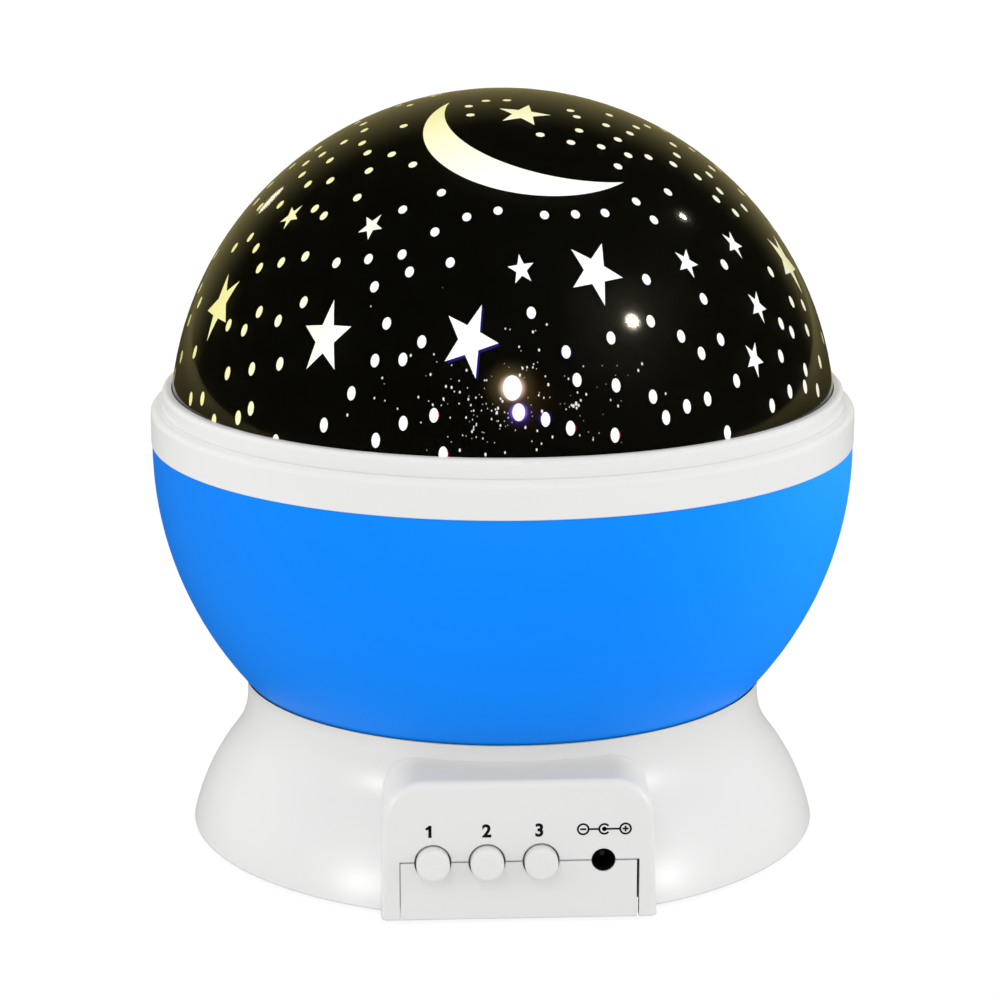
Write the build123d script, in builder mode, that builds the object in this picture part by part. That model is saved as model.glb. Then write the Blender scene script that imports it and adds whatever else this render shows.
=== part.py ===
from build123d import *
from math import acos, asin, cos, pi, radians, sin, sqrt, tan
import os

# Star night light projector, in millimetres. +Z is up, the origin is on the floor under the middle
# of the lamp, and the controls face -Y. A base on feet holds the batteries, the control board and a
# hollow column. A bowl turns on the column, driven by a geared motor, and a domed star mask in a
# collar lifts off the bowl's ring, over four lamps that stand still.

os.makedirs("parts", exist_ok=True)

# Walls and clearances
wall = 2.0  # moulded shells
shell_gap = 0.25  # between the bowl's skin and the dish that it turns in
seam_gap = 0.2  # between pieces that are fitted together and stay
slide_gap = 0.3  # round buttons, door and other pieces that move past a wall
running_fit = 0.05  # radial play of pieces that turn or slide in each other
end_play = 0.1  # axial play of pieces that turn
screw_play = 0.02  # between a screw and the hole that it has cut

# Base shell, wide enough for the battery bay
foot_proud = 0.8  # how far the feet lift the hem off the floor
hem_margin = 11.835  # from the battery bay's far corner out to the hem
hem_flare = 9.2  # from the lip out to the hem
dish_depth = 6.1  # from the dish's floor up to the lip that the bowl sinks behind
neck_inset = 0.6  # the neck is this much inside the lip
lip_height = 3.6  # from the neck to the lip's edge
neck_bend = 14.5  # radius of the hollow curve under the neck
bend_drop = 9.0  # height of that curve

# Control pod, its buttons and socket
pod_inset = 0.1  # from the hem in to the pod's face
pod_depth = 18.5  # from its face back into the flare
pod_drop = 3.0  # from the lip's edge down to the pod's flat top
pod_room = 2.2  # between the outermost button's flange and the pod's wall
pod_draft = 0.4  # how much wider the foot is, and narrower the top
pod_corner = 6.5
pod_edge = 1.2
panel_inset = 2.75  # from the pod's side in to the panel
control_height = 10.6
button_start = 14.0  # how far left of the middle the first button is
button_pitch = 8.75
button_radius = 2.7
button_proud = 2.3
button_travel = 0.8
button_flange = 1.0
flange_reach = 1.1  # of the flange round the button's cap
jack_place = 13.6
jack_opening = 1.95
plug_radius = 1.8  # bore of the socket
jack_pin_radius = 0.65
jack_depth = 7.0

# Bowl, ring and collar
bowl_arc = 61.0  # radius of the bowl's side curve, which starts at the base's lip
bowl_depth = 45.5  # from its floor up to its widest height
bowl_rise = 1.4  # from its widest height up to the ring
floor_gap = 1.0  # under the bowl's floor
ring_overhang = 0.14  # past the bowl's widest
ring_band = 6.1  # visible height of the ring
ring_shoulder = 1.15  # rounding of its top edge
ring_ledge = 2.0  # thickness under the collar
ring_step = 2.0  # from the ring in to the collar
ring_lip = 2.1  # how far the ledge reaches in past the collar's outside
deck_ledge = 1.2  # how far the deck's seat reaches in past the ring's bore
deck_ledge_wall = 1.0
collar_band = 3.1  # visible height of the collar
collar_edge = 0.9

# Dome
collar_wall = 1.3  # from the dome out to the collar's outside
dome_wall = 1.2
film_wall = 0.35
retainer_height = 1.5
retainer_lip = 1.0  # how far it reaches in past the ring's bore

# Bearing column and drive
column_radius = 10.0
column_bore = 6.3
hub_height = 11.25
hub_wall = 3.5
washer_height = 0.6
gear_module = 0.8
ring_teeth = 66
pinion_teeth = 12
gear_height = 5.0
gear_addendum = 0.7  # in modules
gear_backlash = 0.08
gear_rim = 2.8
gear_flange = 3.5
pinion_height = 6.0
shaft_radius = 1.5
plate_thickness = 2.0
plate_margin = 2.4  # of the motor plate past the motor
plate_hole = 5.0  # lightening holes
plate_hole_inset = 9.0  # from the plate's edge to their middles
motor_width = 12.0
motor_depth = 10.0
gearbox_height = 9.0
gearbox_slots = ((1.2, 2.6), (5.0, 2.8))  # heights from the plate and widths
shaft_grip = 4.0  # length of the shaft in the gearbox
motor_height = 14.0
motor_cap = 1.5
clamp_wall = 1.5
clamp_ear = 2.0

# Lamps
pillar_radius = 6.0
pillar_bore = 4.5
lamp_board_radius = 15.0
board_thickness = 1.6
lamp_board_drop = 1.0  # from the dome's centre height down to the lamp board's face
lamp_radius = 2.5
lamp_flange = 0.45
lamp_flange_height = 1.0
lamp_height = 8.6
lamp_circle = 8.5
deck_thickness = 1.5
deck_rise = 2.2

# Batteries
cell_radius = 5.25
cell_length = 44.5
cell_gap = 0.5
cell_count = 4
spring_room = 7.5
bay_wall = 1.5
door_thickness = 1.2
door_rebate = 1.2
bay_middle = 9.0  # how far the bay's middle lies behind the lamp's axis
cover_recess = 0.6  # from the hem up to the bottom cover's face
wire_space = 3.2  # between the battery bay and the bowl's dish
foot_radius = 4.5
foot_sink = 0.6
foot_inset = 3.0  # from the cover's edge in to a foot
foot_angles = (40, 140, 225, 315)
cover_gap = 1.1  # between the bottom cover's edge and the shell's wall
side_post_gap = 8.5  # from the bay's side to the posts beside it
side_post_place = 14.0
front_post_gap = 5.5  # from the bay's side to the posts in front of it
front_post_drop = 4.75  # from the bay's front to them
wire_radius = 0.55

# Screws
screw_radius = 1.2
screw_head = 2.4
screw_head_height = 1.0
cover_screw_length = 8.5
small_screw = 0.9
small_head = 1.6
small_head_height = 1.0
board_screw_length = 6.5
plate_screw_length = 9.0
gear_screw_length = 2.7
hole_spare = 0.5  # how much deeper a blind hole is than its screw

# Heights, from the floor up
hem_height = foot_proud
cover_bottom = hem_height + cover_recess
cover_top = cover_bottom + wall
cell_height = cover_top + cell_radius
bay_ceiling = cover_top + 2 * cell_radius + cell_gap
bay_top = bay_ceiling + bay_wall
dish_floor = bay_top + wire_space + wall
rim_height = dish_floor + dish_depth
hub_bottom = dish_floor + washer_height + end_play
hub_top = hub_bottom + hub_height
column_top = hub_top + end_play
bowl_floor = dish_floor + floor_gap
bowl_equator = bowl_floor + bowl_depth
bowl_top = bowl_equator + bowl_rise
ring_top = bowl_top + ring_band
ring_seat = bowl_top + ring_ledge
collar_top = ring_top + collar_band
dome_centre = ring_seat + 0.1
dome_bottom = ring_seat + retainer_height
pod_top = rim_height - pod_drop

# Widths, from the battery bay and the controls outwards
cell_pitch = 2 * cell_radius + cell_gap
bay_length = cell_length + spring_room
bay_width = cell_count * cell_pitch + cell_gap
bay_front = bay_middle - bay_width / 2
bay_corner = sqrt((bay_length / 2 + bay_wall) ** 2 + (bay_middle + bay_width / 2 + bay_wall) ** 2)
hem_radius = bay_corner + hem_margin
rim_radius = hem_radius - hem_flare
bowl_lean = sqrt((bowl_arc + shell_gap) ** 2 - (bowl_equator - rim_height) ** 2)
bowl_radius = rim_radius + bowl_arc - bowl_lean
ring_radius = bowl_radius + ring_overhang
collar_radius = ring_radius - ring_step
dome_radius = collar_radius - collar_wall
pod_front = hem_radius - pod_inset
pod_half_width = button_start + button_radius + flange_reach + wall + pod_room
button_places = [button_pitch * number - button_start for number in range(3)]
post_side = bay_length / 2 + bay_wall + side_post_gap
post_front = bay_length / 2 + bay_wall + front_post_gap
cover_screws_at = [(side * post_side, side_post_place) for side in (1, -1)]
cover_screws_at += [(side * post_front, bay_front - front_post_drop) for side in (1, -1)]


def on_circle(radius, angle):
    # place on a circle round the lamp's axis
    return (radius * cos(radians(angle)), radius * sin(radians(angle)))


# Bowl's side curve: an arc whose centre lies a little past the axis


def bowl_reach(height, grow):
    side = (bowl_arc + grow) ** 2 - (height - bowl_equator) ** 2
    return bowl_radius - bowl_arc + sqrt(side)


def bowl_face(grow, floor, top, corner):
    # half section of the bowl filled to the axis, with its skin moved out by grow
    middle = (floor + top) / 2
    foot = (bowl_reach(floor, grow), floor)
    edge = (bowl_reach(top, grow), top)
    with BuildSketch(Plane.XZ) as face:
        with BuildLine():
            Polyline(edge, (0, top), (0, floor), foot)
            ThreePointArc(foot, (bowl_reach(middle, grow), middle), edge)
        make_face()
        fillet(face.vertices().group_by(Axis.Y)[0].sort_by(Axis.X)[-1], corner)
    return face.sketch


# Base shell: a bell-shaped flare and a pod outside, a dish for the bowl on top
neck_radius = rim_radius - neck_inset
neck_height = rim_height - lip_height
dish_corner = 2.5


def flare_face(inset, foot):
    # half section of the base filled to the axis, with its skin moved in by inset
    turn = asin(bend_drop / neck_bend)
    curve = neck_bend + inset
    centre = neck_radius + neck_bend
    neck = (neck_radius - inset, neck_height)
    halfway = (centre - curve * cos(turn / 2), neck_height - curve * sin(turn / 2))
    bend = (centre - curve * cos(turn), neck_height - curve * sin(turn))
    hem = (hem_radius - inset, foot)
    throat = (neck[0], neck_height + lip_height / 3)
    lip = (rim_radius - inset, rim_height)
    with BuildSketch(Plane.XZ) as face:
        with BuildLine():
            Polyline(lip, (0, rim_height), (0, foot), hem)
            TangentArc(bend, hem, tangent=(sin(turn), -cos(turn)))
            ThreePointArc(bend, halfway, neck)
            Line(neck, throat)
            TangentArc(throat, lip, tangent=(0, 1))
        make_face()
    return face.sketch


def pod_block(inset, foot, edge):
    # the pod's block, or the room inside its walls
    low = pod_half_width + pod_draft - inset
    high = pod_half_width - pod_draft - inset
    top = pod_top - inset
    with BuildPart() as block:
        with BuildSketch(Plane.XZ.offset(pod_front - inset)) as outline:
            with BuildLine():
                Polyline((-low, foot), (low, foot), (high, top), (-high, top), close=True)
            make_face()
            fillet(outline.vertices().group_by(Axis.Y)[-1], pod_corner - inset)
        extrude(amount=inset - pod_depth)
        if edge:
            face = block.faces().sort_by(Axis.Y)[0]
            fillet(face.edges().filter_by_position(Axis.Z, foot + edge / 2, pod_top + 1), edge)
    return block.part


# Holes for the buttons and the plug, half in the shell and half in the panel
with BuildPart() as control_holes:
    with BuildSketch(Plane.XZ.offset(pod_front + 1)):
        with Locations(*[(place, control_height) for place in button_places]):
            Circle(button_radius + slide_gap)
        with Locations((jack_place, control_height)):
            Circle(jack_opening)
    extrude(amount=-(1 + wall + seam_gap))

# Room inside the base, up to the underside of the dish
with BuildPart() as base_room:
    revolve(flare_face(wall, hem_height - 1), Axis.Z)
    add(pod_block(wall, hem_height - 1, 0))
    dish_under = bowl_face(shell_gap + wall, dish_floor - wall, rim_height + wall, dish_corner)
    revolve(dish_under, Axis.Z, mode=Mode.SUBTRACT)

panel_gap_left = seam_gap / 2  # the panel sits a little to the left in its gap
panel_gap_right = seam_gap * 2
panel_left = panel_inset - pod_half_width
panel_right = pod_half_width - panel_inset - seam_gap
panel_top = control_height - seam_gap / 2
board_setback = 10.5  # from the pod's face back to the control board
board_margin = 1.0  # beside the board
board_floor_gap = 1.0  # between the bottom cover and the board
board_headroom = 2.4
board_hole_inset = 2.5  # from the board's edges to its screws
board_boss = 2.2
board_front = pod_front - board_setback
board_width = 2 * (pod_half_width - wall - board_margin)
board_low = cover_top + board_floor_gap
board_high = pod_top - wall - board_headroom
board_hole_side = board_width / 2 - board_hole_inset
board_screws_at = [(side * board_hole_side, board_high - board_hole_inset) for side in (-1, 1)]
pillar_foot = 2.0
plate_screws_at = [on_circle((column_radius + column_bore) / 2, angle) for angle in (90, 210, 330)]
plate_screw_depth = plate_screw_length - pillar_foot - plate_thickness + hole_spare

with BuildPart() as base_shell:
    revolve(flare_face(0, hem_height), Axis.Z)
    add(pod_block(0, hem_height, pod_edge))
    add(base_room.part, mode=Mode.SUBTRACT)
    # dish for the bowl and the column that it turns on
    dish = bowl_face(shell_gap, dish_floor, rim_height + wall, dish_corner)
    revolve(dish, Axis.Z, mode=Mode.SUBTRACT)
    with BuildSketch(Plane.XY.offset(dish_floor - wall)):
        Circle(column_radius)
    extrude(amount=column_top - dish_floor + wall)
    with BuildSketch(Plane.XY.offset(dish_floor - wall)):
        Circle(column_bore)
    extrude(amount=column_top - dish_floor + wall, mode=Mode.SUBTRACT)
    with BuildSketch(Plane.XY.offset(column_top)):
        with Locations(*plate_screws_at):
            Circle(small_screw + screw_play)
    extrude(amount=-plate_screw_depth, mode=Mode.SUBTRACT)
    # posts for the cover screws
    with BuildSketch(Plane.XY.offset(cover_top)):
        with Locations(*cover_screws_at):
            Circle(screw_radius + wall)
    extrude(amount=dish_floor - wall / 2 - cover_top)
    with BuildSketch(Plane.XY.offset(cover_top)):
        with Locations(*cover_screws_at):
            Circle(screw_radius + screw_play)
    extrude(amount=cover_screw_length - wall + screw_head_height + hole_spare, mode=Mode.SUBTRACT)
    # bosses for the control board behind the pod's face
    with BuildSketch(Plane.XZ.offset(board_front)):
        with Locations(*board_screws_at):
            Circle(board_boss)
    extrude(amount=pod_front - wall / 2 - board_front)
    with BuildSketch(Plane.XZ.offset(board_front)):
        with Locations(*board_screws_at):
            Circle(small_screw + screw_play)
    extrude(amount=board_screw_length - board_thickness + hole_spare, mode=Mode.SUBTRACT)
    # opening for the panel, and the holes
    with BuildSketch(Plane.XZ.offset(pod_front + 1)):
        with BuildLine():
            left = panel_left - panel_gap_left
            right = panel_right + panel_gap_right
            top = panel_top + seam_gap
            Polyline((left, -1), (right, -1), (right, top), (left, top), close=True)
        make_face()
    extrude(amount=-(1 + wall + seam_gap), mode=Mode.SUBTRACT)
    add(control_holes.part, mode=Mode.SUBTRACT)
base_shell.part.label = "base_shell"
export_step(base_shell.part, "parts/base_shell.step")

# Bottom cover: a disc inside the hem with the pod's panel, the battery bay and screw recesses
cover_radius = hem_radius - wall - cover_gap
door_length = bay_length + 2 * door_rebate
door_width = bay_width + 2 * door_rebate
hook_places = (-12.0, 12.0)
hook_width = 5.0
hook_reach = 1.7
hook_wall = 1.0
hook_bottom = cover_top + seam_gap
hook_room = 5.0  # headroom for a hook as the door swings
dent_length = 14.0
dent_width = 7.0
foot_circle = cover_radius - foot_radius - foot_inset
foot_places = [on_circle(foot_circle, angle) for angle in foot_angles]

with BuildPart() as bottom_cover:
    with BuildSketch(Plane.XY.offset(cover_bottom)):
        Circle(cover_radius)
        with Locations(((panel_left + panel_right) / 2, wall / 2 - pod_front)):
            Rectangle(panel_right - panel_left, pod_front - wall, align=(Align.CENTER, Align.MIN))
    extrude(amount=wall)
    with BuildSketch(Plane.XY.offset(hem_height)):
        with Locations(((panel_left + panel_right) / 2, -pod_front)):
            Rectangle(panel_right - panel_left, wall, align=(Align.CENTER, Align.MIN))
    extrude(amount=panel_top - hem_height)
    with BuildSketch(Plane.XY.offset(cover_bottom)):
        with Locations((0, bay_middle)):
            Rectangle(bay_length + 2 * bay_wall, bay_width + 2 * bay_wall)
    extrude(amount=bay_top - cover_bottom)
    with BuildSketch(Plane.XY.offset(cover_bottom)):
        with Locations((0, bay_middle)):
            Rectangle(bay_length, bay_width)
    extrude(amount=bay_ceiling - cover_bottom, mode=Mode.SUBTRACT)
    # rebate for the door, and passages for its hooks
    with BuildSketch(Plane.XY.offset(cover_bottom)):
        with Locations((0, bay_middle)):
            Rectangle(door_length + 2 * slide_gap, door_width + 2 * slide_gap)
    extrude(amount=door_thickness + seam_gap, mode=Mode.SUBTRACT)
    with BuildSketch(Plane.XY.offset(cover_bottom)):
        with Locations(*[(place, bay_front) for place in hook_places]):
            passage = door_rebate + slide_gap
            Rectangle(hook_width + 2 * slide_gap, passage, align=(Align.CENTER, Align.MAX))
    extrude(amount=wall, mode=Mode.SUBTRACT)
    with BuildSketch(Plane.XY.offset(cover_top)):
        with Locations(*[(place, bay_front + seam_gap) for place in hook_places]):
            passage = bay_wall + 2 * seam_gap
            Rectangle(hook_width + 2 * slide_gap, passage, align=(Align.CENTER, Align.MAX))
    extrude(amount=hook_room, mode=Mode.SUBTRACT)
    # finger dent behind the door
    with BuildSketch(Plane.XY.offset(cover_bottom)):
        with Locations((0, bay_middle + door_width / 2)):
            SlotOverall(dent_length, dent_width)
    extrude(amount=door_thickness + seam_gap, mode=Mode.SUBTRACT)
    # screw recesses and holes, foot recesses
    with BuildSketch(Plane.XY.offset(cover_bottom)):
        with Locations(*cover_screws_at):
            Circle(screw_head + seam_gap)
    extrude(amount=screw_head_height, mode=Mode.SUBTRACT)
    with BuildSketch(Plane.XY.offset(cover_bottom)):
        with Locations(*cover_screws_at):
            Circle(screw_radius + seam_gap)
    extrude(amount=wall, mode=Mode.SUBTRACT)
    with BuildSketch(Plane.XY.offset(cover_bottom)):
        with Locations(*foot_places):
            Circle(foot_radius + seam_gap / 2)
    extrude(amount=foot_sink, mode=Mode.SUBTRACT)
    add(control_holes.part, mode=Mode.SUBTRACT)
bottom_cover.part.label = "bottom_cover"
export_step(bottom_cover.part, "parts/bottom_cover.step")

with BuildPart() as rubber_feet:
    with BuildSketch():
        with Locations(*foot_places):
            Circle(foot_radius)
    extrude(amount=cover_bottom + foot_sink)
    chamfer(rubber_feet.faces().group_by(Axis.Z)[0].edges(), 0.4)
rubber_feet.part.label = "rubber_feet"
export_step(rubber_feet.part, "parts/rubber_feet.step")


def screw_group(places, face, head, head_height, shank, length):
    # pan-head screws driven up from below, with their heads' undersides at a height
    with BuildPart() as group:
        with BuildSketch(Plane.XY.offset(face - head_height)):
            with Locations(*places):
                Circle(head)
        extrude(amount=head_height)
        fillet(group.faces().group_by(Axis.Z)[0].edges(), head_height * 0.6)
        with BuildSketch(Plane.XY.offset(face - head_height)):
            with Locations(*places):
                Rectangle(head * 1.3, head * 0.28)
                Rectangle(head * 0.28, head * 1.3)
        extrude(amount=head_height * 0.5, mode=Mode.SUBTRACT)
        with BuildSketch(Plane.XY.offset(face)):
            with Locations(*places):
                Circle(shank)
        extrude(amount=length)
    return group.part


def hanging_screws(places, face, head, head_height, shank, length):
    # the same screws driven down from above
    return mirror(screw_group(places, -face, head, head_height, shank, length), about=Plane.XY)


with BuildPart() as cover_screws:
    add(screw_group(cover_screws_at, cover_bottom + screw_head_height, screw_head, screw_head_height,
                    screw_radius, cover_screw_length))
cover_screws.part.label = "cover_screws"
export_step(cover_screws.part, "parts/cover_screws.step")

# Battery door: a lid in the rebate, hooked over the cover's edge in front, with a latch tongue behind
tongue_width = 11.0
tongue_length = 7.0
tongue_slit = 0.8
ridge_inset = 2.0  # from the door's edge to the tongue's ridge
ridge_width = 1.2
ridge_height = 0.5
rib_inset = 10.0  # from the door's edge to the first grip rib
rib_pitch = 1.6
rib_length = 16.0
rib_width = 0.7
rib_depth = 0.3
with BuildPart() as battery_door:
    with BuildSketch(Plane.XY.offset(cover_bottom)):
        with Locations((0, bay_middle)):
            RectangleRounded(door_length, door_width, 0.8)
    extrude(amount=door_thickness)
    with BuildSketch(Plane.XY.offset(cover_bottom)):
        with Locations(*[(place, bay_front - door_rebate) for place in hook_places]):
            Rectangle(hook_width, door_rebate - seam_gap, align=(Align.CENTER, Align.MIN))
    extrude(amount=hook_bottom + hook_wall - cover_bottom)
    with BuildSketch(Plane.XY.offset(hook_bottom)):
        with Locations(*[(place, bay_front - seam_gap) for place in hook_places]):
            Rectangle(hook_width, hook_reach + door_rebate, align=(Align.CENTER, Align.MAX))
    extrude(amount=hook_wall)
    # slits that free the tongue, and its ridge
    with BuildSketch(Plane.XY.offset(cover_bottom)):
        edge = bay_middle + door_width / 2
        with Locations((-tongue_width / 2, edge), (tongue_width / 2, edge)):
            Rectangle(tongue_slit, tongue_length, align=(Align.CENTER, Align.MAX))
    extrude(amount=door_thickness, mode=Mode.SUBTRACT)
    with BuildSketch(Plane.XY.offset(cover_bottom)):
        with Locations((0, edge - ridge_inset)):
            SlotOverall(tongue_width - 3, ridge_width)
    extrude(amount=-ridge_height)
    # grip ribs across the door
    with BuildSketch(Plane.XY.offset(cover_bottom)):
        with Locations(*[(0, edge - rib_inset - rib_pitch * line) for line in range(5)]):
            SlotOverall(rib_length, rib_width)
    extrude(amount=rib_depth, mode=Mode.SUBTRACT)
battery_door.part.label = "battery_door"
export_step(battery_door.part, "parts/battery_door.step")

# Four cells side by side, every second one the other way round
cell_rows = [bay_middle + (row - (cell_count - 1) / 2) * cell_pitch for row in range(cell_count)]
nub_radius = 1.9
nub_height = 1.0
contact_wall = 0.4
contact_face = bay_length / 2 - contact_wall
with BuildPart() as battery_cells:
    for row, place in enumerate(cell_rows):
        way = 1 if row % 2 == 0 else -1
        tip = Plane(origin=(way * (contact_face - seam_gap / 2), place, cell_height), z_dir=(-way, 0, 0))
        with BuildSketch(tip):
            Circle(nub_radius)
        extrude(amount=nub_height)
        with BuildSketch(tip.offset(nub_height)):
            Circle(cell_radius)
        extrude(amount=cell_length - nub_height)
battery_cells.part.label = "battery_cells"
export_step(battery_cells.part, "parts/battery_cells.step")

contact_side = 8.5
with BuildPart() as battery_contacts:
    pairs = [(1, 0, 1), (1, 2, 3), (-1, 0, 0), (-1, 1, 2), (-1, 3, 3)]  # side, first row, last row
    for side, first, last in pairs:
        with BuildSketch(Plane.YZ.offset(side * contact_face)):
            with Locations(((cell_rows[first] + cell_rows[last]) / 2, cell_height)):
                Rectangle(contact_side + cell_rows[last] - cell_rows[first], contact_side)
        extrude(amount=side * contact_wall)
battery_contacts.part.label = "battery_contacts"
export_step(battery_contacts.part, "parts/battery_contacts.step")

spring_radius = 3.4
spring_wire = 0.3
spring_turns = 3
with BuildPart() as battery_springs:
    for row, place in enumerate(cell_rows):
        way = -1 if row % 2 == 0 else 1
        start = way * (contact_face - spring_wire - seam_gap / 4)
        rise = bay_length - 2 * contact_wall - seam_gap / 2 - cell_length - 2 * spring_wire - seam_gap / 2
        with BuildLine() as coil:
            Helix(rise / spring_turns, rise, spring_radius, center=(start, place, cell_height),
                  direction=(-way, 0, 0), cone_angle=-10)
        with BuildSketch(Plane(origin=coil.line @ 0, z_dir=coil.line % 0)):
            Circle(spring_wire)
        sweep(path=coil.line, is_frenet=True)
battery_springs.part.label = "battery_springs"
export_step(battery_springs.part, "parts/battery_springs.step")

# Buttons: a cap with a flange behind the pod's wall, resting on the stem of its switch
flange_front = pod_front - wall - slide_gap
flange_back = flange_front - button_flange
for number, place in enumerate(button_places, start=1):
    with BuildPart() as button:
        with BuildSketch(Plane.XZ.offset(pod_front + button_proud)):
            with Locations((place, control_height)):
                Circle(button_radius)
        extrude(amount=flange_front - pod_front - button_proud)
        fillet(button.faces().sort_by(Axis.Y)[0].edges(), 0.7)
        with BuildSketch(Plane.XZ.offset(flange_front)):
            with Locations((place, control_height)):
                Circle(button_radius + flange_reach)
        extrude(amount=-button_flange)
    button.part.label = f"button_{number}"
    export_step(button.part, f"parts/button_{number}.step")

# Control board on its bosses, with the switches, the socket and the parts of its circuit
switch_side = 6.0
switch_depth = 3.5
stem_radius = 1.75
stem_sink = 0.8  # length of the stem in its switch
switch_front = board_front + switch_depth
with BuildPart() as control_board:
    with BuildSketch(Plane.XZ.offset(board_front)):
        with Locations((0, (board_low + board_high) / 2)):
            RectangleRounded(board_width, board_high - board_low, 1.0)
        with Locations(*board_screws_at):
            Circle(small_screw + seam_gap, mode=Mode.SUBTRACT)
    extrude(amount=-board_thickness)
control_board.part.label = "control_board"
export_step(control_board.part, "parts/control_board.step")

for number, place in enumerate(button_places, start=1):
    with BuildPart() as switch_stem:
        with BuildSketch(Plane.XZ.offset(flange_back)):
            with Locations((place, control_height)):
                Circle(stem_radius)
        extrude(amount=switch_front - stem_sink - flange_back)
    switch_stem.part.label = f"switch_stem_{number}"
    export_step(switch_stem.part, f"parts/switch_stem_{number}.step")

with BuildPart() as switch_bodies:
    with BuildSketch(Plane.XZ.offset(board_front)):
        with Locations(*[(place, control_height) for place in button_places]):
            Rectangle(switch_side, switch_side)
    extrude(amount=switch_depth)
    with BuildSketch(Plane.XZ.offset(switch_front)):
        with Locations(*[(place, control_height) for place in button_places]):
            Circle(stem_radius + running_fit)
    extrude(amount=-(stem_sink + button_travel + seam_gap), mode=Mode.SUBTRACT)
switch_bodies.part.label = "switch_bodies"
export_step(switch_bodies.part, "parts/switch_bodies.step")

jack_side = 7.0
jack_front = pod_front - wall - seam_gap / 2
with BuildPart() as power_socket:
    with BuildSketch(Plane.XZ.offset(board_front)):
        with Locations((jack_place, control_height)):
            RectangleRounded(jack_side, jack_side, 0.5)
    extrude(amount=jack_front - board_front)
    with BuildSketch(Plane.XZ.offset(jack_front)):
        with Locations((jack_place, control_height)):
            Circle(plug_radius)
    extrude(amount=-jack_depth, mode=Mode.SUBTRACT)
power_socket.part.label = "power_socket"
export_step(power_socket.part, "parts/power_socket.step")

with BuildPart() as socket_pin:
    with BuildSketch(Plane.XZ.offset(jack_front - jack_depth)):
        with Locations((jack_place, control_height)):
            Circle(jack_pin_radius)
    extrude(amount=jack_depth - 1.0)
    fillet(socket_pin.faces().sort_by(Axis.Y)[0].edges(), 0.3)
socket_pin.part.label = "socket_pin"
export_step(socket_pin.part, "parts/socket_pin.step")

board_back = board_front - board_thickness
chip_place = (-2.0, 9.5)
chip_length = 8.6
chip_width = 3.9
chip_height = 1.5
pin_pitch = 1.27
pin_rows = 5.2  # between the middles of the two rows of pins
pin_width = 0.5
pin_length = 1.3
pin_height = 0.4
with BuildPart() as controller_chip:
    with BuildSketch(Plane.XZ.offset(board_back)):
        with Locations(chip_place):
            Rectangle(chip_length, chip_width)
    extrude(amount=-chip_height)
    with BuildSketch(Plane.XZ.offset(board_back)):
        with Locations(chip_place):
            with GridLocations(pin_pitch, pin_rows, 6, 2):
                Rectangle(pin_width, pin_length)
    extrude(amount=-pin_height)
controller_chip.part.label = "controller_chip"
export_step(controller_chip.part, "parts/controller_chip.step")

small_part_length = 2.0
small_part_width = 1.2
small_part_height = 0.5
side_part_place = 8.5
side_part_heights = (7.0, 9.5)
top_part_height = 15.5
top_part_places = (-10.0, -7.0, 1.0)
capacitor_radius = 2.0
capacitor_height = 4.6
capacitor_place = (15.0, 9.0)
with BuildPart() as board_parts:
    with BuildSketch(Plane.XZ.offset(board_back)):
        with Locations(*[(side_part_place, height) for height in side_part_heights],
                       *[(place, top_part_height) for place in top_part_places]):
            Rectangle(small_part_width, small_part_length)
    extrude(amount=-small_part_height)
    with BuildSketch(Plane.XZ.offset(board_back)):
        with Locations(capacitor_place):
            Circle(capacitor_radius)
    extrude(amount=-capacitor_height)
board_parts.part.label = "board_parts"
export_step(board_parts.part, "parts/board_parts.step")

with BuildPart() as board_screws:
    for place, height in board_screws_at:
        head = Plane(origin=(place, -board_back, height), z_dir=(0, -1, 0))
        with BuildSketch(head.offset(-small_head_height)):
            Circle(small_head)
        extrude(amount=small_head_height)
        with BuildSketch(head):
            Circle(small_screw)
        extrude(amount=board_screw_length)
board_screws.part.label = "board_screws"
export_step(board_screws.part, "parts/board_screws.step")

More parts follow.
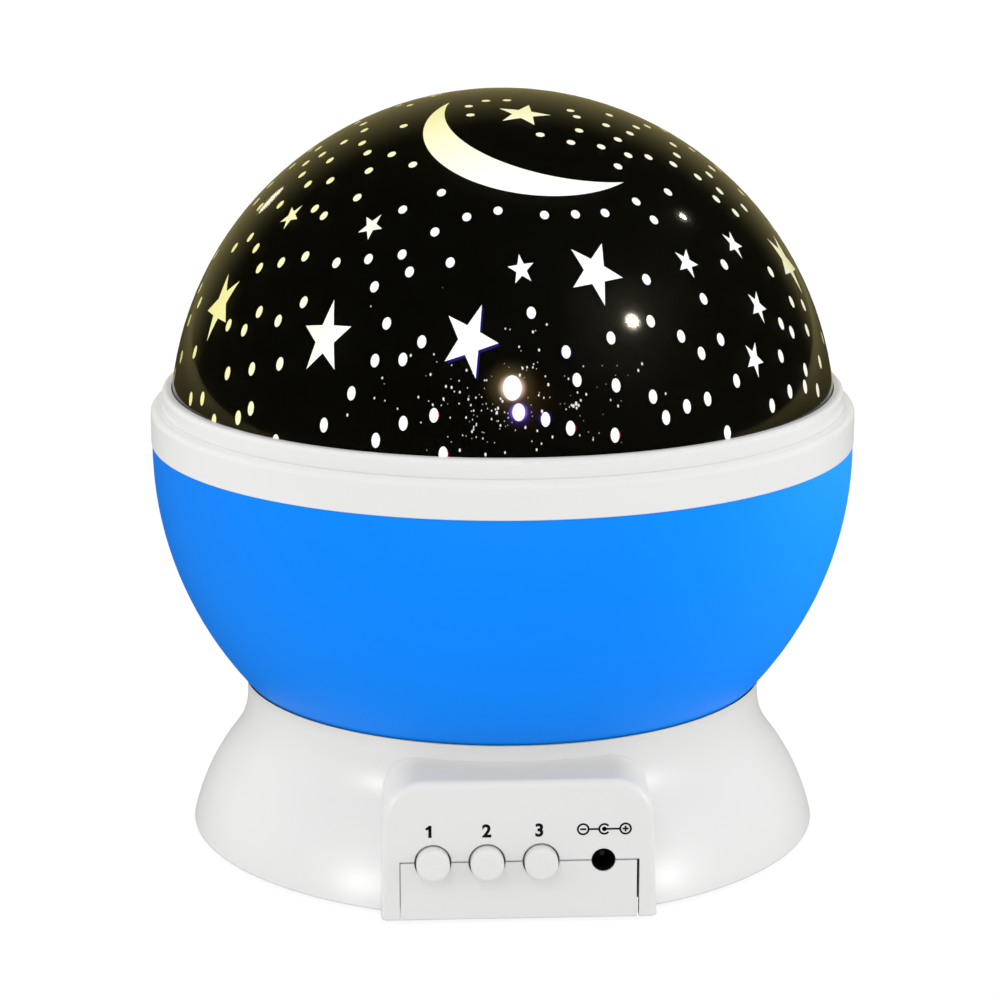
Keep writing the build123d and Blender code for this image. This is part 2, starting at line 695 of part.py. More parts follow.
# Bowl with its hub
hub_bore = column_radius + running_fit
hub_radius = hub_bore + hub_wall
bowl_inside = bowl_floor + wall
gusset_reach = 2.0
gusset_drop = 3.0  # from the hub's top down to the gussets
gusset_wall = 1.2
gusset_top = hub_top - gusset_drop
gear_radius = ring_teeth * gear_module / 2
gear_flange_height = 1.5
gear_screw_depth = gear_screw_length - gear_flange_height + hole_spare / 2
gear_screw_inset = 1.7  # from the flange's edge in to the screws
gear_screw_circle = gear_radius + gear_rim + gear_flange - gear_screw_inset
gear_screws_at = [on_circle(gear_screw_circle, angle) for angle in (60, 180, 300)]
lamp_screw_offset = 1.4  # from the pillar's outside to the lamp board's screws
lamp_screws_at = [on_circle(pillar_radius + lamp_screw_offset, angle) for angle in (210, 330)]
spigot_depth = 4.9
with BuildPart() as bowl_shell:
    revolve(bowl_face(0, bowl_floor, bowl_top, dish_corner), Axis.Z)
    inside = bowl_face(-wall, bowl_floor + wall, bowl_top, dish_corner)
    revolve(inside, Axis.Z, mode=Mode.SUBTRACT)
    with BuildSketch(Plane.XY.offset(hub_bottom)):
        Circle(hub_radius)
    extrude(amount=hub_height)
    # gussets round the hub
    for number in range(6):
        with BuildSketch(Plane.XZ.rotated((0, 0, 60 * number))):
            with BuildLine():
                foot = hub_radius + gusset_reach
                Polyline((hub_bore + 1, bowl_floor + 1), (foot, bowl_floor + 1), (foot, bowl_inside + 0.4),
                         (hub_radius, gusset_top), (hub_bore + 1, gusset_top), close=True)
            make_face()
        extrude(amount=gusset_wall / 2, both=True)
    with BuildSketch(Plane.XY.offset(hub_bottom)):
        Circle(hub_bore)
    extrude(amount=hub_height, mode=Mode.SUBTRACT)
    with BuildSketch(Plane.XY.offset(bowl_inside)):
        with Locations(*gear_screws_at):
            Circle(small_screw + screw_play)
    extrude(amount=-gear_screw_depth, mode=Mode.SUBTRACT)
bowl_shell.part.label = "bowl_shell"
export_step(bowl_shell.part, "parts/bowl_shell.step")

with BuildPart() as thrust_washer:
    with BuildSketch(Plane.XY.offset(dish_floor)):
        Circle(hub_radius + 0.5)
        Circle(hub_bore, mode=Mode.SUBTRACT)
    extrude(amount=washer_height)
thrust_washer.part.label = "thrust_washer"
export_step(thrust_washer.part, "parts/thrust_washer.step")

# Ring gear inside the bowl and the motor's pinion: involute teeth, pressure angle 20 degrees


def gear_outline(teeth, addendum, dedendum, backlash):
    # toothed outline with a tooth on the +X axis; its addendum and dedendum are in modules
    pitch = teeth * gear_module / 2
    base = pitch * cos(radians(20))
    root = pitch - dedendum * gear_module
    tip = pitch + addendum * gear_module
    start = max(base, root)
    flank = []
    for step in range(3):
        radius = start + (tip - start) * step / 2
        roll = acos(base / radius)
        spread = tan(radians(20)) - radians(20) - tan(roll) + roll
        flank.append((radius, pi / 2 / teeth - backlash / 2 / pitch + spread))
    if root < base:
        flank.insert(0, (root, flank[0][1]))
    corners = []
    for tooth in range(teeth):
        middle = 2 * pi * tooth / teeth
        for radius, half in flank:
            corners.append((radius * cos(middle - half), radius * sin(middle - half)))
        for radius, half in reversed(flank):
            corners.append((radius * cos(middle + half), radius * sin(middle + half)))
    with BuildSketch() as outline:
        with BuildLine():
            Polyline(*corners, close=True)
        make_face()
    return outline.sketch


with BuildPart() as ring_gear:
    with BuildSketch(Plane.XY.offset(bowl_inside)):
        Circle(gear_radius + gear_rim)
    extrude(amount=gear_height)
    with BuildSketch(Plane.XY.offset(bowl_inside)):
        Circle(gear_radius + gear_rim + gear_flange)
        with Locations(*gear_screws_at):
            Circle(small_screw + seam_gap, mode=Mode.SUBTRACT)
    extrude(amount=gear_flange_height)
    with BuildSketch(Plane.XY.offset(bowl_inside)):
        add(gear_outline(ring_teeth, 1.0, gear_addendum, -gear_backlash))
    extrude(amount=gear_height, mode=Mode.SUBTRACT)
ring_gear.part.label = "ring_gear"
export_step(ring_gear.part, "parts/ring_gear.step")

with BuildPart() as gear_screws:
    add(hanging_screws(gear_screws_at, bowl_inside + gear_flange_height, small_head, small_head_height,
                       small_screw, gear_screw_length))
gear_screws.part.label = "gear_screws"
export_step(gear_screws.part, "parts/gear_screws.step")

# the motor stands on the +X side, where a tooth of the pinion points into a space of the ring
motor_place = (ring_teeth - pinion_teeth) * gear_module / 2
pinion_lift = 0.5  # over the bowl's floor
pinion_bottom = bowl_inside + pinion_lift
with BuildPart() as pinion:
    with BuildSketch(Plane.XY.offset(pinion_bottom)):
        with Locations((motor_place, 0)):
            add(gear_outline(pinion_teeth, gear_addendum, 1.05, gear_backlash))
            Circle(shaft_radius, mode=Mode.SUBTRACT)
    extrude(amount=pinion_height)
pinion.part.label = "pinion"
export_step(pinion.part, "parts/pinion.step")

plate_top = column_top + plate_thickness
with BuildPart() as motor_shaft:
    with BuildSketch(Plane.XY.offset(pinion_bottom)):
        with Locations((motor_place, 0)):
            Circle(shaft_radius)
    extrude(amount=plate_top + shaft_grip - pinion_bottom)
motor_shaft.part.label = "motor_shaft"
export_step(motor_shaft.part, "parts/motor_shaft.step")

# Motor plate on top of the column: it keeps the bowl's hub down and carries motor and lamps
shaft_hole = shaft_radius + 1.0
clamp_screw_room = 2.0  # from the clamp's side out to its screws
clamp_reach = motor_width / 2 + seam_gap + clamp_wall
clamp_screw_place = clamp_reach + clamp_screw_room
clamp_screws_at = ((motor_place, clamp_screw_place), (motor_place, -clamp_screw_place))
plate_radius = motor_place + motor_depth / 2 + plate_margin
plate_holes_at = [on_circle(plate_radius - plate_hole_inset, angle) for angle in (75, 130, 180, 230, 285)]
with BuildPart() as motor_plate:
    with BuildSketch(Plane.XY.offset(column_top)):
        Circle(plate_radius)
        Circle(column_bore, mode=Mode.SUBTRACT)
        with Locations((motor_place, 0)):
            Circle(shaft_hole, mode=Mode.SUBTRACT)
        with Locations(*plate_screws_at):
            Circle(small_screw + seam_gap, mode=Mode.SUBTRACT)
        with Locations(*clamp_screws_at):
            Circle(small_screw + screw_play, mode=Mode.SUBTRACT)
        with Locations(*plate_holes_at):
            Circle(plate_hole, mode=Mode.SUBTRACT)
    extrude(amount=plate_thickness)
motor_plate.part.label = "motor_plate"
export_step(motor_plate.part, "parts/motor_plate.step")

with BuildPart() as gearbox:
    with BuildSketch(Plane.XY.offset(plate_top)):
        with Locations((motor_place, 0)):
            Rectangle(motor_depth, motor_width)
    extrude(amount=gearbox_height)
    with BuildSketch(Plane.XY.offset(plate_top)):
        with Locations((motor_place, 0)):
            Circle(shaft_radius + running_fit)
    extrude(amount=shaft_grip + hole_spare, mode=Mode.SUBTRACT)
    # slots between the gearbox's three plates
    for slot_bottom, slot_height in gearbox_slots:
        with BuildSketch(Plane.XY.offset(plate_top + slot_bottom)):
            with Locations((motor_place, 0)):
                Rectangle(motor_depth + 1, motor_width + 1)
                RectangleRounded(motor_depth - 1.6, motor_width - 1.6, 1.0, mode=Mode.SUBTRACT)
        extrude(amount=slot_height, mode=Mode.SUBTRACT)
gearbox.part.label = "gearbox"
export_step(gearbox.part, "parts/gearbox.step")

can_bottom = plate_top + gearbox_height
can_top = can_bottom + motor_height
with BuildPart() as motor_can:
    with BuildSketch(Plane.XY.offset(can_bottom)):
        with Locations((motor_place, 0)):
            Circle(motor_width / 2)
            Rectangle(motor_depth, motor_width, mode=Mode.INTERSECT)
    extrude(amount=motor_height)
motor_can.part.label = "motor_can"
export_step(motor_can.part, "parts/motor_can.step")

with BuildPart() as motor_end_cap:
    with BuildSketch(Plane.XY.offset(can_top)):
        with Locations((motor_place, 0)):
            Circle(motor_width / 2 - 0.3)
            Rectangle(motor_depth - 0.6, motor_width, mode=Mode.INTERSECT)
    extrude(amount=motor_cap)
motor_end_cap.part.label = "motor_end_cap"
export_step(motor_end_cap.part, "parts/motor_end_cap.step")

# Clamp: a saddle over the gearbox, with an ear on each side for its screws
clamp_top = can_bottom + clamp_wall
with BuildPart() as motor_clamp:
    with BuildSketch(Plane.XY.offset(plate_top)):
        with Locations((motor_place, 0)):
            RectangleRounded(motor_depth - 2, 2 * clamp_reach + 4 * clamp_screw_room, 1.5)
    extrude(amount=clamp_ear)
    with BuildSketch(Plane.XY.offset(plate_top)):
        with Locations((motor_place, 0)):
            Rectangle(motor_depth + 2 * clamp_wall, 2 * clamp_reach)
    extrude(amount=clamp_top - plate_top)
    with BuildSketch(Plane.XY.offset(plate_top)):
        with Locations((motor_place, 0)):
            Rectangle(motor_depth + 4 * clamp_wall, motor_width + 2 * seam_gap)
    extrude(amount=gearbox_height, mode=Mode.SUBTRACT)
    with BuildSketch(Plane.XY.offset(can_bottom)):
        with Locations((motor_place, 0)):
            Circle(motor_width / 2 + seam_gap / 2)
            Rectangle(motor_depth + seam_gap, motor_width + seam_gap, mode=Mode.INTERSECT)
    extrude(amount=clamp_wall, mode=Mode.SUBTRACT)
    with BuildSketch(Plane.XY.offset(plate_top)):
        with Locations(*clamp_screws_at):
            Circle(small_screw + seam_gap)
    extrude(amount=clamp_ear, mode=Mode.SUBTRACT)
motor_clamp.part.label = "motor_clamp"
export_step(motor_clamp.part, "parts/motor_clamp.step")

with BuildPart() as clamp_screws:
    add(hanging_screws(clamp_screws_at, plate_top + clamp_ear, small_head, small_head_height,
                       small_screw, clamp_ear + plate_thickness - end_play))
clamp_screws.part.label = "clamp_screws"
export_step(clamp_screws.part, "parts/clamp_screws.step")

# Lamp pillar: a tube with a foot on the motor plate and a flange under the lamp board
lamp_board_top = dome_centre - lamp_board_drop
lamp_board_bottom = lamp_board_top - board_thickness
pillar_foot_reach = 0.6  # of its foot past the column
pillar_flange = 3.5
window_drop = 3.15  # from the motor's top down to the middle of the pillar's window
window_length = 14.0
window_width = 4.0
wire_window = can_top - window_drop
with BuildPart() as lamp_pillar:
    with BuildSketch(Plane.XY.offset(plate_top)):
        Circle(column_radius + pillar_foot_reach)
    extrude(amount=pillar_foot)
    with BuildSketch(Plane.XY.offset(plate_top)):
        Circle(pillar_radius)
    extrude(amount=lamp_board_bottom - plate_top)
    with BuildSketch(Plane.XY.offset(lamp_board_bottom - pillar_foot)):
        Circle(pillar_radius + pillar_flange)
    extrude(amount=pillar_foot)
    with BuildSketch(Plane.XY.offset(plate_top)):
        Circle(pillar_bore)
    extrude(amount=lamp_board_bottom - plate_top, mode=Mode.SUBTRACT)
    with BuildSketch(Plane.XY.offset(plate_top)):
        with Locations(*plate_screws_at):
            Circle(small_screw + seam_gap)
    extrude(amount=pillar_foot, mode=Mode.SUBTRACT)
    with BuildSketch(Plane.XY.offset(lamp_board_bottom)):
        with Locations(*lamp_screws_at):
            Circle(small_screw + screw_play)
    extrude(amount=-pillar_foot, mode=Mode.SUBTRACT)
    # window for the motor's wires
    with BuildSketch(Plane.YZ.offset(pillar_bore - 1)):
        with Locations((0, wire_window)):
            SlotOverall(window_length, window_width, rotation=90)
    extrude(amount=pillar_radius, mode=Mode.SUBTRACT)
lamp_pillar.part.label = "lamp_pillar"
export_step(lamp_pillar.part, "parts/lamp_pillar.step")

with BuildPart() as plate_screws:
    add(hanging_screws(plate_screws_at, plate_top + pillar_foot, small_head, small_head_height,
                       small_screw, plate_screw_length))
plate_screws.part.label = "plate_screws"
export_step(plate_screws.part, "parts/plate_screws.step")

with BuildPart() as lamp_board:
    with BuildSketch(Plane.XY.offset(lamp_board_bottom)):
        Circle(lamp_board_radius)
        with Locations(*lamp_screws_at):
            Circle(small_screw + seam_gap, mode=Mode.SUBTRACT)
    extrude(amount=board_thickness)
lamp_board.part.label = "lamp_board"
export_step(lamp_board.part, "parts/lamp_board.step")

with BuildPart() as lamp_screws:
    add(hanging_screws(lamp_screws_at, lamp_board_top, small_head, small_head_height, small_screw,
                       board_thickness + pillar_foot - end_play))
lamp_screws.part.label = "lamp_screws"
export_step(lamp_screws.part, "parts/lamp_screws.step")

# Lamps: domed capsules with a flange, one in the middle and three round it
lamp_places = {"white": (0, 0)}
for colour, angle in (("red", 150), ("green", 30), ("blue", 270)):
    lamp_places[colour] = on_circle(lamp_circle, angle)
for colour, place in lamp_places.items():
    with BuildPart() as lamp:
        with BuildSketch(Plane.XZ):
            with BuildLine():
                shoulder = lamp_board_top + lamp_height - lamp_radius
                crown = (lamp_radius / sqrt(2), shoulder + lamp_radius / sqrt(2))
                flange = lamp_radius + lamp_flange
                flange_top = lamp_board_top + lamp_flange_height
                Polyline((0, shoulder + lamp_radius), (0, lamp_board_top), (flange, lamp_board_top),
                         (flange, flange_top), (lamp_radius, flange_top), (lamp_radius, shoulder))
                ThreePointArc((lamp_radius, shoulder), crown, (0, shoulder + lamp_radius))
            make_face()
        revolve(axis=Axis.Z)
    lamp.part.position = (place[0], place[1], 0)
    lamp.part.label = f"lamp_{colour}"
    export_step(lamp.part, f"parts/lamp_{colour}.step")

# Ring on top of the bowl: a band with a rounded shoulder, a socket for the collar inside it, and a
# spigot in the bowl that carries the light deck
ring_bore = collar_radius - ring_lip
spigot_radius = bowl_reach(bowl_top - spigot_depth, -wall) - seam_gap
deck_seat = bowl_top - spigot_depth + deck_ledge_wall
with BuildPart() as rim_ring:
    with BuildSketch(Plane.XY.offset(bowl_top)):
        Circle(ring_radius)
    extrude(amount=ring_band)
    fillet(rim_ring.faces().sort_by(Axis.Z)[-1].edges(), ring_shoulder)
    with BuildSketch(Plane.XY.offset(bowl_top - spigot_depth)):
        Circle(spigot_radius)
    extrude(amount=spigot_depth)
    with BuildSketch(Plane.XY.offset(ring_seat)):
        Circle(collar_radius - seam_gap / 2 + running_fit)
    extrude(amount=ring_top - ring_seat, mode=Mode.SUBTRACT)
    with BuildSketch(Plane.XY.offset(deck_seat)):
        Circle(ring_bore)
    extrude(amount=ring_seat - deck_seat, mode=Mode.SUBTRACT)
    with BuildSketch(Plane.XY.offset(bowl_top - spigot_depth)):
        Circle(ring_bore - deck_ledge)
    extrude(amount=deck_ledge_wall, mode=Mode.SUBTRACT)
rim_ring.part.label = "rim_ring"
export_step(rim_ring.part, "parts/rim_ring.step")

# Light deck: a shallow cone from the ring's ledge up to a hole round the lamp board
deck_hole_gap = 1.5  # round the lamp board
deck_edge = 2.0  # width of the deck's flat edge
deck_radius = ring_bore - seam_gap
deck_flat = deck_radius - deck_edge
deck_hole = lamp_board_radius + deck_hole_gap
with BuildPart() as light_deck:
    with BuildSketch(Plane.XZ):
        with BuildLine():
            low = deck_seat
            high = deck_seat + deck_thickness
            Polyline((deck_hole, low + deck_rise), (deck_flat, low), (deck_radius, low),
                     (deck_radius, high), (deck_flat, high), (deck_hole, high + deck_rise), close=True)
        make_face()
    revolve(axis=Axis.Z)
light_deck.part.label = "light_deck"
export_step(light_deck.part, "parts/light_deck.step")

# Dome: collar, retainer ring, clear shell, and the dark film with its windows inside the shell


def ball_cap(radius, bottom):
    # half section of a ball round the dome's centre, filled above a height
    reach = sqrt(radius ** 2 - (bottom - dome_centre) ** 2)
    slant = (asin((bottom - dome_centre) / radius) + pi / 2) / 2
    with BuildSketch(Plane.XZ) as face:
        with BuildLine():
            Polyline((0, dome_centre + radius), (0, bottom), (reach, bottom))
            ThreePointArc((reach, bottom), (radius * cos(slant), dome_centre + radius * sin(slant)),
                          (0, dome_centre + radius))
        make_face()
    return face.sketch


with BuildPart() as dome_collar:
    with BuildSketch(Plane.XY.offset(ring_top)):
        Circle(collar_radius)
    extrude(amount=collar_band)
    fillet(dome_collar.faces().sort_by(Axis.Z)[-1].edges(), collar_edge)
    with BuildSketch(Plane.XY.offset(ring_seat)):
        Circle(collar_radius - seam_gap / 2)
    extrude(amount=ring_top - ring_seat)
    with BuildSketch(Plane.XY.offset(ring_seat)):
        Circle(dome_radius + seam_gap / 2)
    extrude(amount=dome_centre - ring_seat, mode=Mode.SUBTRACT)
    revolve(ball_cap(dome_radius + seam_gap / 2, dome_centre), Axis.Z, mode=Mode.SUBTRACT)
dome_collar.part.label = "dome_collar"
export_step(dome_collar.part, "parts/dome_collar.step")

with BuildPart() as dome_retainer:
    with BuildSketch(Plane.XY.offset(ring_seat)):
        Circle(dome_radius)
        Circle(ring_bore - retainer_lip, mode=Mode.SUBTRACT)
    extrude(amount=retainer_height)
dome_retainer.part.label = "dome_retainer"
export_step(dome_retainer.part, "parts/dome_retainer.step")

with BuildPart() as star_dome:
    revolve(ball_cap(dome_radius, dome_bottom), Axis.Z)
    revolve(ball_cap(dome_radius - dome_wall, dome_bottom), Axis.Z, mode=Mode.SUBTRACT)
star_dome.part.label = "star_dome"
export_step(star_dome.part, "parts/star_dome.step")

# Windows of the film: azimuth from the front, elevation, half width, tilt clockwise. The film is
# printed flat and formed into a ball, which draws its windows out towards the rim.
big_star = 4.5
small_star = 2.15
star_waist = 0.4  # radius of a star's inner corners, as a share of its points'
stars = (
    (15.6, 36.5, big_star, 30), (-8.6, 25.5, big_star, 21), (-35.4, 24.3, big_star, -4),
    (-67, 25.5, big_star, -34), (74, 31.5, big_star, 40), (10, 74.6, big_star, 25),
    (112, 27, big_star, 10), (150, 34, big_star, -20), (186, 26, big_star, 15),
    (-142, 30, big_star, 35), (-103, 33, big_star, -8),
    (0.8, 37.4, small_star, -7), (37, 36.5, small_star, 32), (53.7, 38, small_star, 35),
    (51.4, 26.9, small_star, 35), (45.6, 18.8, small_star, 35), (-33.7, 44.2, small_star, 12),
    (-59.5, 43.6, small_star, 20), (95, 47, small_star, 5), (131, 19, small_star, -15),
    (126, 50, small_star, 30), (168, 17, small_star, 8), (172, 52, small_star, -25),
    (-162, 43, small_star, 18), (-166, 19, small_star, -30), (-122, 49, small_star, 0),
    (-120, 18, small_star, 26), (-90, 20, small_star, -12), (-84, 50, small_star, 33),
)
moon_azimuth = -1.8
moon_elevation = 63.3
moon_radius = 18.1
moon_place = (4.9, 6.9)
shade_radius = 19.7
shade_place = (10.0, 12.9)
window_depth = 8.0
film_radius = dome_radius - dome_wall - running_fit


def window_plane(azimuth, elevation):
    # plane just over the film, with its x axis along the rim and its y axis up the dome
    turn = radians(azimuth)
    rise = radians(elevation)
    out = Vector(sin(turn) * cos(rise), -cos(turn) * cos(rise), sin(rise))
    touch = Vector(0, 0, dome_centre) + out * (film_radius + film_wall)
    return Plane(origin=touch, x_dir=(cos(turn), sin(turn), 0), z_dir=out)


def star_corners(elevation, size, tilt):
    tall = size * (1.6 - 0.0085 * elevation)
    corners = []
    for corner in range(10):
        turn = radians(tilt + 36 * corner)
        share = star_waist if corner % 2 else 1
        corners.append((share * size * sin(turn), share * tall * cos(turn)))
    return corners


with BuildPart() as star_film:
    revolve(ball_cap(film_radius, dome_bottom), Axis.Z)
    revolve(ball_cap(film_radius - film_wall, dome_bottom), Axis.Z, mode=Mode.SUBTRACT)
    for azimuth, elevation, size, tilt in stars:
        with BuildSketch(window_plane(azimuth, elevation)):
            with BuildLine():
                Polyline(*star_corners(elevation, size, tilt), close=True)
            make_face()
    extrude(amount=-window_depth / 2, mode=Mode.SUBTRACT)
    with BuildSketch(window_plane(moon_azimuth, moon_elevation)):
        with Locations(moon_place):
            Circle(moon_radius)
        with Locations(shade_place):
            Circle(shade_radius, mode=Mode.SUBTRACT)
    extrude(amount=-window_depth, mode=Mode.SUBTRACT)
star_film.part.label = "star_film"
export_step(star_film.part, "parts/star_film.step")

# Wires from the control board to battery, motor and lamps


def wire(points):
    # a wire along straight runs, with as large an arc at each corner as its two runs allow
    route = [Vector(*point) for point in points]
    radii = []
    for before, corner, after in zip(route, route[1:], route[2:]):
        half_turn = radians((corner - before).get_angle(after - corner)) / 2
        run = min((corner - before).length, (after - corner).length)
        radii.append(0.45 * run / tan(half_turn))
    with BuildPart() as lead:
        with BuildLine() as path:
            FilletPolyline(*route, radius=radii)
        with BuildSketch(Plane(origin=path.line @ 0, z_dir=path.line % 0)):
            Circle(wire_radius)
        sweep(path=path.line)
    return lead.part


wire_height = dish_floor - wall - wire_space / 2
wire_run = 11.4  # straight runs of the wires behind the board
wire_spread = 6.0  # from the middle to where a pair leaves the board
wire_side = 2.2  # from the axis to where a pair goes up the column
wire_turn = column_radius + 2.0
lamp_wire_gap = 0.75  # half the distance between a pair's two wires
motor_wire_gap = 0.9
first_bend = wire_run - board_back
with BuildPart() as lamp_wires:
    for step in (-lamp_wire_gap, lamp_wire_gap):
        add(wire([(step - wire_spread, -board_back, wire_height), (step - wire_spread, first_bend, wire_height),
                  (step - wire_side, -wire_turn, wire_height), (step - wire_side, 0, wire_height),
                  (step - wire_side, 0, lamp_board_bottom)]))
lamp_wires.part.label = "lamp_wires"
export_step(lamp_wires.part, "parts/lamp_wires.step")

# the motor's pair turns a quarter round itself on its way up the pillar, to lie flat at the motor
quarter_turn = 16.0  # height of that turn
turn_end = wire_window - 6.0
bow_reach = 2.0  # from the pillar to where the pair starts to lie flat
flat_reach = 5.5
with BuildPart() as motor_wires:
    end_height = can_top + motor_cap / 2
    end_face = motor_place - motor_depth / 2 + 0.3
    for step in (-motor_wire_gap, motor_wire_gap):
        add(wire([(step + wire_spread, -board_back, wire_height), (step + wire_spread, first_bend, wire_height),
                  (step + wire_side, -wire_turn, wire_height), (step + wire_side, 0, wire_height),
                  (step + wire_side, 0, turn_end - quarter_turn), (wire_side, step, turn_end),
                  (pillar_radius + bow_reach, step, end_height - 1),
                  (pillar_radius + flat_reach, step, end_height), (end_face, step, end_height)]))
motor_wires.part.label = "motor_wires"
export_step(motor_wires.part, "parts/motor_wires.step")

bay_exit_inset = 5.0  # from the bay's side to where its wires leave it
bay_exit_drop = 3.4  # from the bay's ceiling down to them
bay_wire_run = 9.0  # straight runs at both ends
board_wire_run = 7.0
board_entry_inset = 6.0  # from the board's side
board_entry_drop = 4.3  # from the board's top
for name, side in (("battery_wire_plus", 1), ("battery_wire_minus", -1)):
    bay_face = bay_front - bay_wall
    exit_side = side * (bay_length / 2 - bay_exit_inset)
    exit_height = bay_ceiling - bay_exit_drop
    entry_side = side * (board_width / 2 - board_entry_inset)
    entry_height = board_high - board_entry_drop
    with BuildPart() as battery_wire:
        add(wire([(exit_side, bay_face, exit_height), (exit_side, bay_face - bay_wire_run, exit_height),
                  (entry_side, board_wire_run - board_back, entry_height),
                  (entry_side, -board_back, entry_height)]))
    battery_wire.part.label = name
    export_step(battery_wire.part, f"parts/{name}.step")
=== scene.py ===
import math
import random

import bpy
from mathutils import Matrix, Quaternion, Vector


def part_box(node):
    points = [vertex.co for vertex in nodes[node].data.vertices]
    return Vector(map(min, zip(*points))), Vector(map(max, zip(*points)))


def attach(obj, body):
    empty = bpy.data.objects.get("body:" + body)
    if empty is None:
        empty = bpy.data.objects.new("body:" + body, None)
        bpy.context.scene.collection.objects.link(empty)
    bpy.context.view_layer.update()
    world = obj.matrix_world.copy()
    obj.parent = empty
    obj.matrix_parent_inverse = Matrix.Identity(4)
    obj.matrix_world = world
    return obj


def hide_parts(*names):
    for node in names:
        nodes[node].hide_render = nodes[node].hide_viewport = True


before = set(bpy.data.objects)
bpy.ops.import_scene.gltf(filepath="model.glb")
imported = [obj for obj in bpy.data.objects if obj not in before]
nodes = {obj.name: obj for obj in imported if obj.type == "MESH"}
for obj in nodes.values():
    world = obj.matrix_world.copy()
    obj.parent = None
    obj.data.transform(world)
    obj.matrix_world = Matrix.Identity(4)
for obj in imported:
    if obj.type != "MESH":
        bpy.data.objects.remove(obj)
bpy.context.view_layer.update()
scene = bpy.context.scene
mm = 0.001
print("frame loaded:", len(nodes), "nodes")


def linearColour(hexCode):
    # sRGB hex to the linear values that the sockets want
    shares = [int(hexCode[start:start + 2], 16) / 255 for start in (1, 3, 5)]
    return [share / 12.92 if share <= 0.04045 else ((share + 0.055) / 1.055) ** 2.4
            for share in shares] + [1.0]


def addNode(tree, kind, settings=None):
    # a node with its properties and sockets set; a value that is a node's output is linked in
    node = tree.nodes.new(kind)
    for key, value in (settings or {}).items():
        if isinstance(key, str) and hasattr(node, key):
            setattr(node, key, value)
        elif isinstance(value, bpy.types.NodeSocket):
            tree.links.new(value, node.inputs[key])
        else:
            node.inputs[key].default_value = value
    return node


def maths(tree, operation, first, second):
    return addNode(tree, "ShaderNodeMath", {
        "operation": operation, 0: first, 1: second}).outputs[0]


def ramp(tree, value, start, end, low, high, kind="LINEAR"):
    # low where the value is at the start, high where it is at the end
    return addNode(tree, "ShaderNodeMapRange", {
        "interpolation_type": kind, "Value": value, "From Min": start, "From Max": end,
        "To Min": low, "To Max": high}).outputs[0]


def mixColours(tree, share, first, second, kind="MIX"):
    # each colour is a hex code or a node's output
    first, second = (linearColour(colour) if isinstance(colour, str) else colour
                     for colour in (first, second))
    return addNode(tree, "ShaderNodeMix", {
        "data_type": "RGBA", "blend_type": kind, 0: share, 6: first, 7: second}).outputs[2]


def onPiece(tree):
    # places on the piece itself, in metres
    return addNode(tree, "ShaderNodeTexCoord").outputs["Object"]


def noise(tree, width, detail):
    # cloudy noise that is fixed to the piece; width in mm
    return addNode(tree, "ShaderNodeTexNoise", {
        "Scale": 1 / (width * mm), "Detail": detail, "Vector": onPiece(tree)}).outputs["Fac"]


def newMaterial(name):
    # an empty material and its tree
    material = bpy.data.materials.new(name)
    material.use_nodes = True
    material.node_tree.nodes.clear()
    return material, material.node_tree


def showShader(tree, shader):
    addNode(tree, "ShaderNodeOutputMaterial", {"Surface": shader.outputs[0]})


def principled(tree, settings):
    showShader(tree, addNode(tree, "ShaderNodeBsdfPrincipled", settings))


def meshPiece(name, points, faces, material, crease=None):
    # a smooth surface where a crease is given: edges with a larger angle, in degrees, stay sharp
    mesh = bpy.data.meshes.new(name)
    mesh.from_pydata(points, [], faces)
    mesh.validate()
    if crease:
        mesh.shade_smooth()
        mesh.set_sharp_from_angle(angle=math.radians(crease))
    mesh.materials.append(material)
    made = bpy.data.objects.new(name, mesh)
    scene.collection.objects.link(made)
    return made


# Camera: a long lens a little above the lamp, just left of straight on
cameraSettings = {
    "lens": 117.5,  # mm, on a sensor of 36 mm
    "nearest": 0.01,  # metres, like the next two
    "distance": 0.5507,  # from the lamp's axis
    "height": 0.1973,
    "azimuth": 2.9,  # degrees, to the left
    "aim": 0.046,  # degrees, past the axis to the left
    "tilt": 14.3,  # degrees, downwards
}


def placeCamera(settings):
    lens = bpy.data.cameras.new("camera")
    lens.lens = settings["lens"]
    lens.clip_start = settings["nearest"]
    eye = bpy.data.objects.new("camera", lens)
    scene.collection.objects.link(eye)
    side = math.radians(settings["azimuth"])
    eye.location = (-settings["distance"] * math.sin(side),
                    -settings["distance"] * math.cos(side), settings["height"])
    turn = math.radians(settings["aim"] - settings["azimuth"])
    eye.rotation_euler = (math.radians(90 - settings["tilt"]), 0, turn)
    scene.camera = eye


placeCamera(cameraSettings)
print("camera placed")

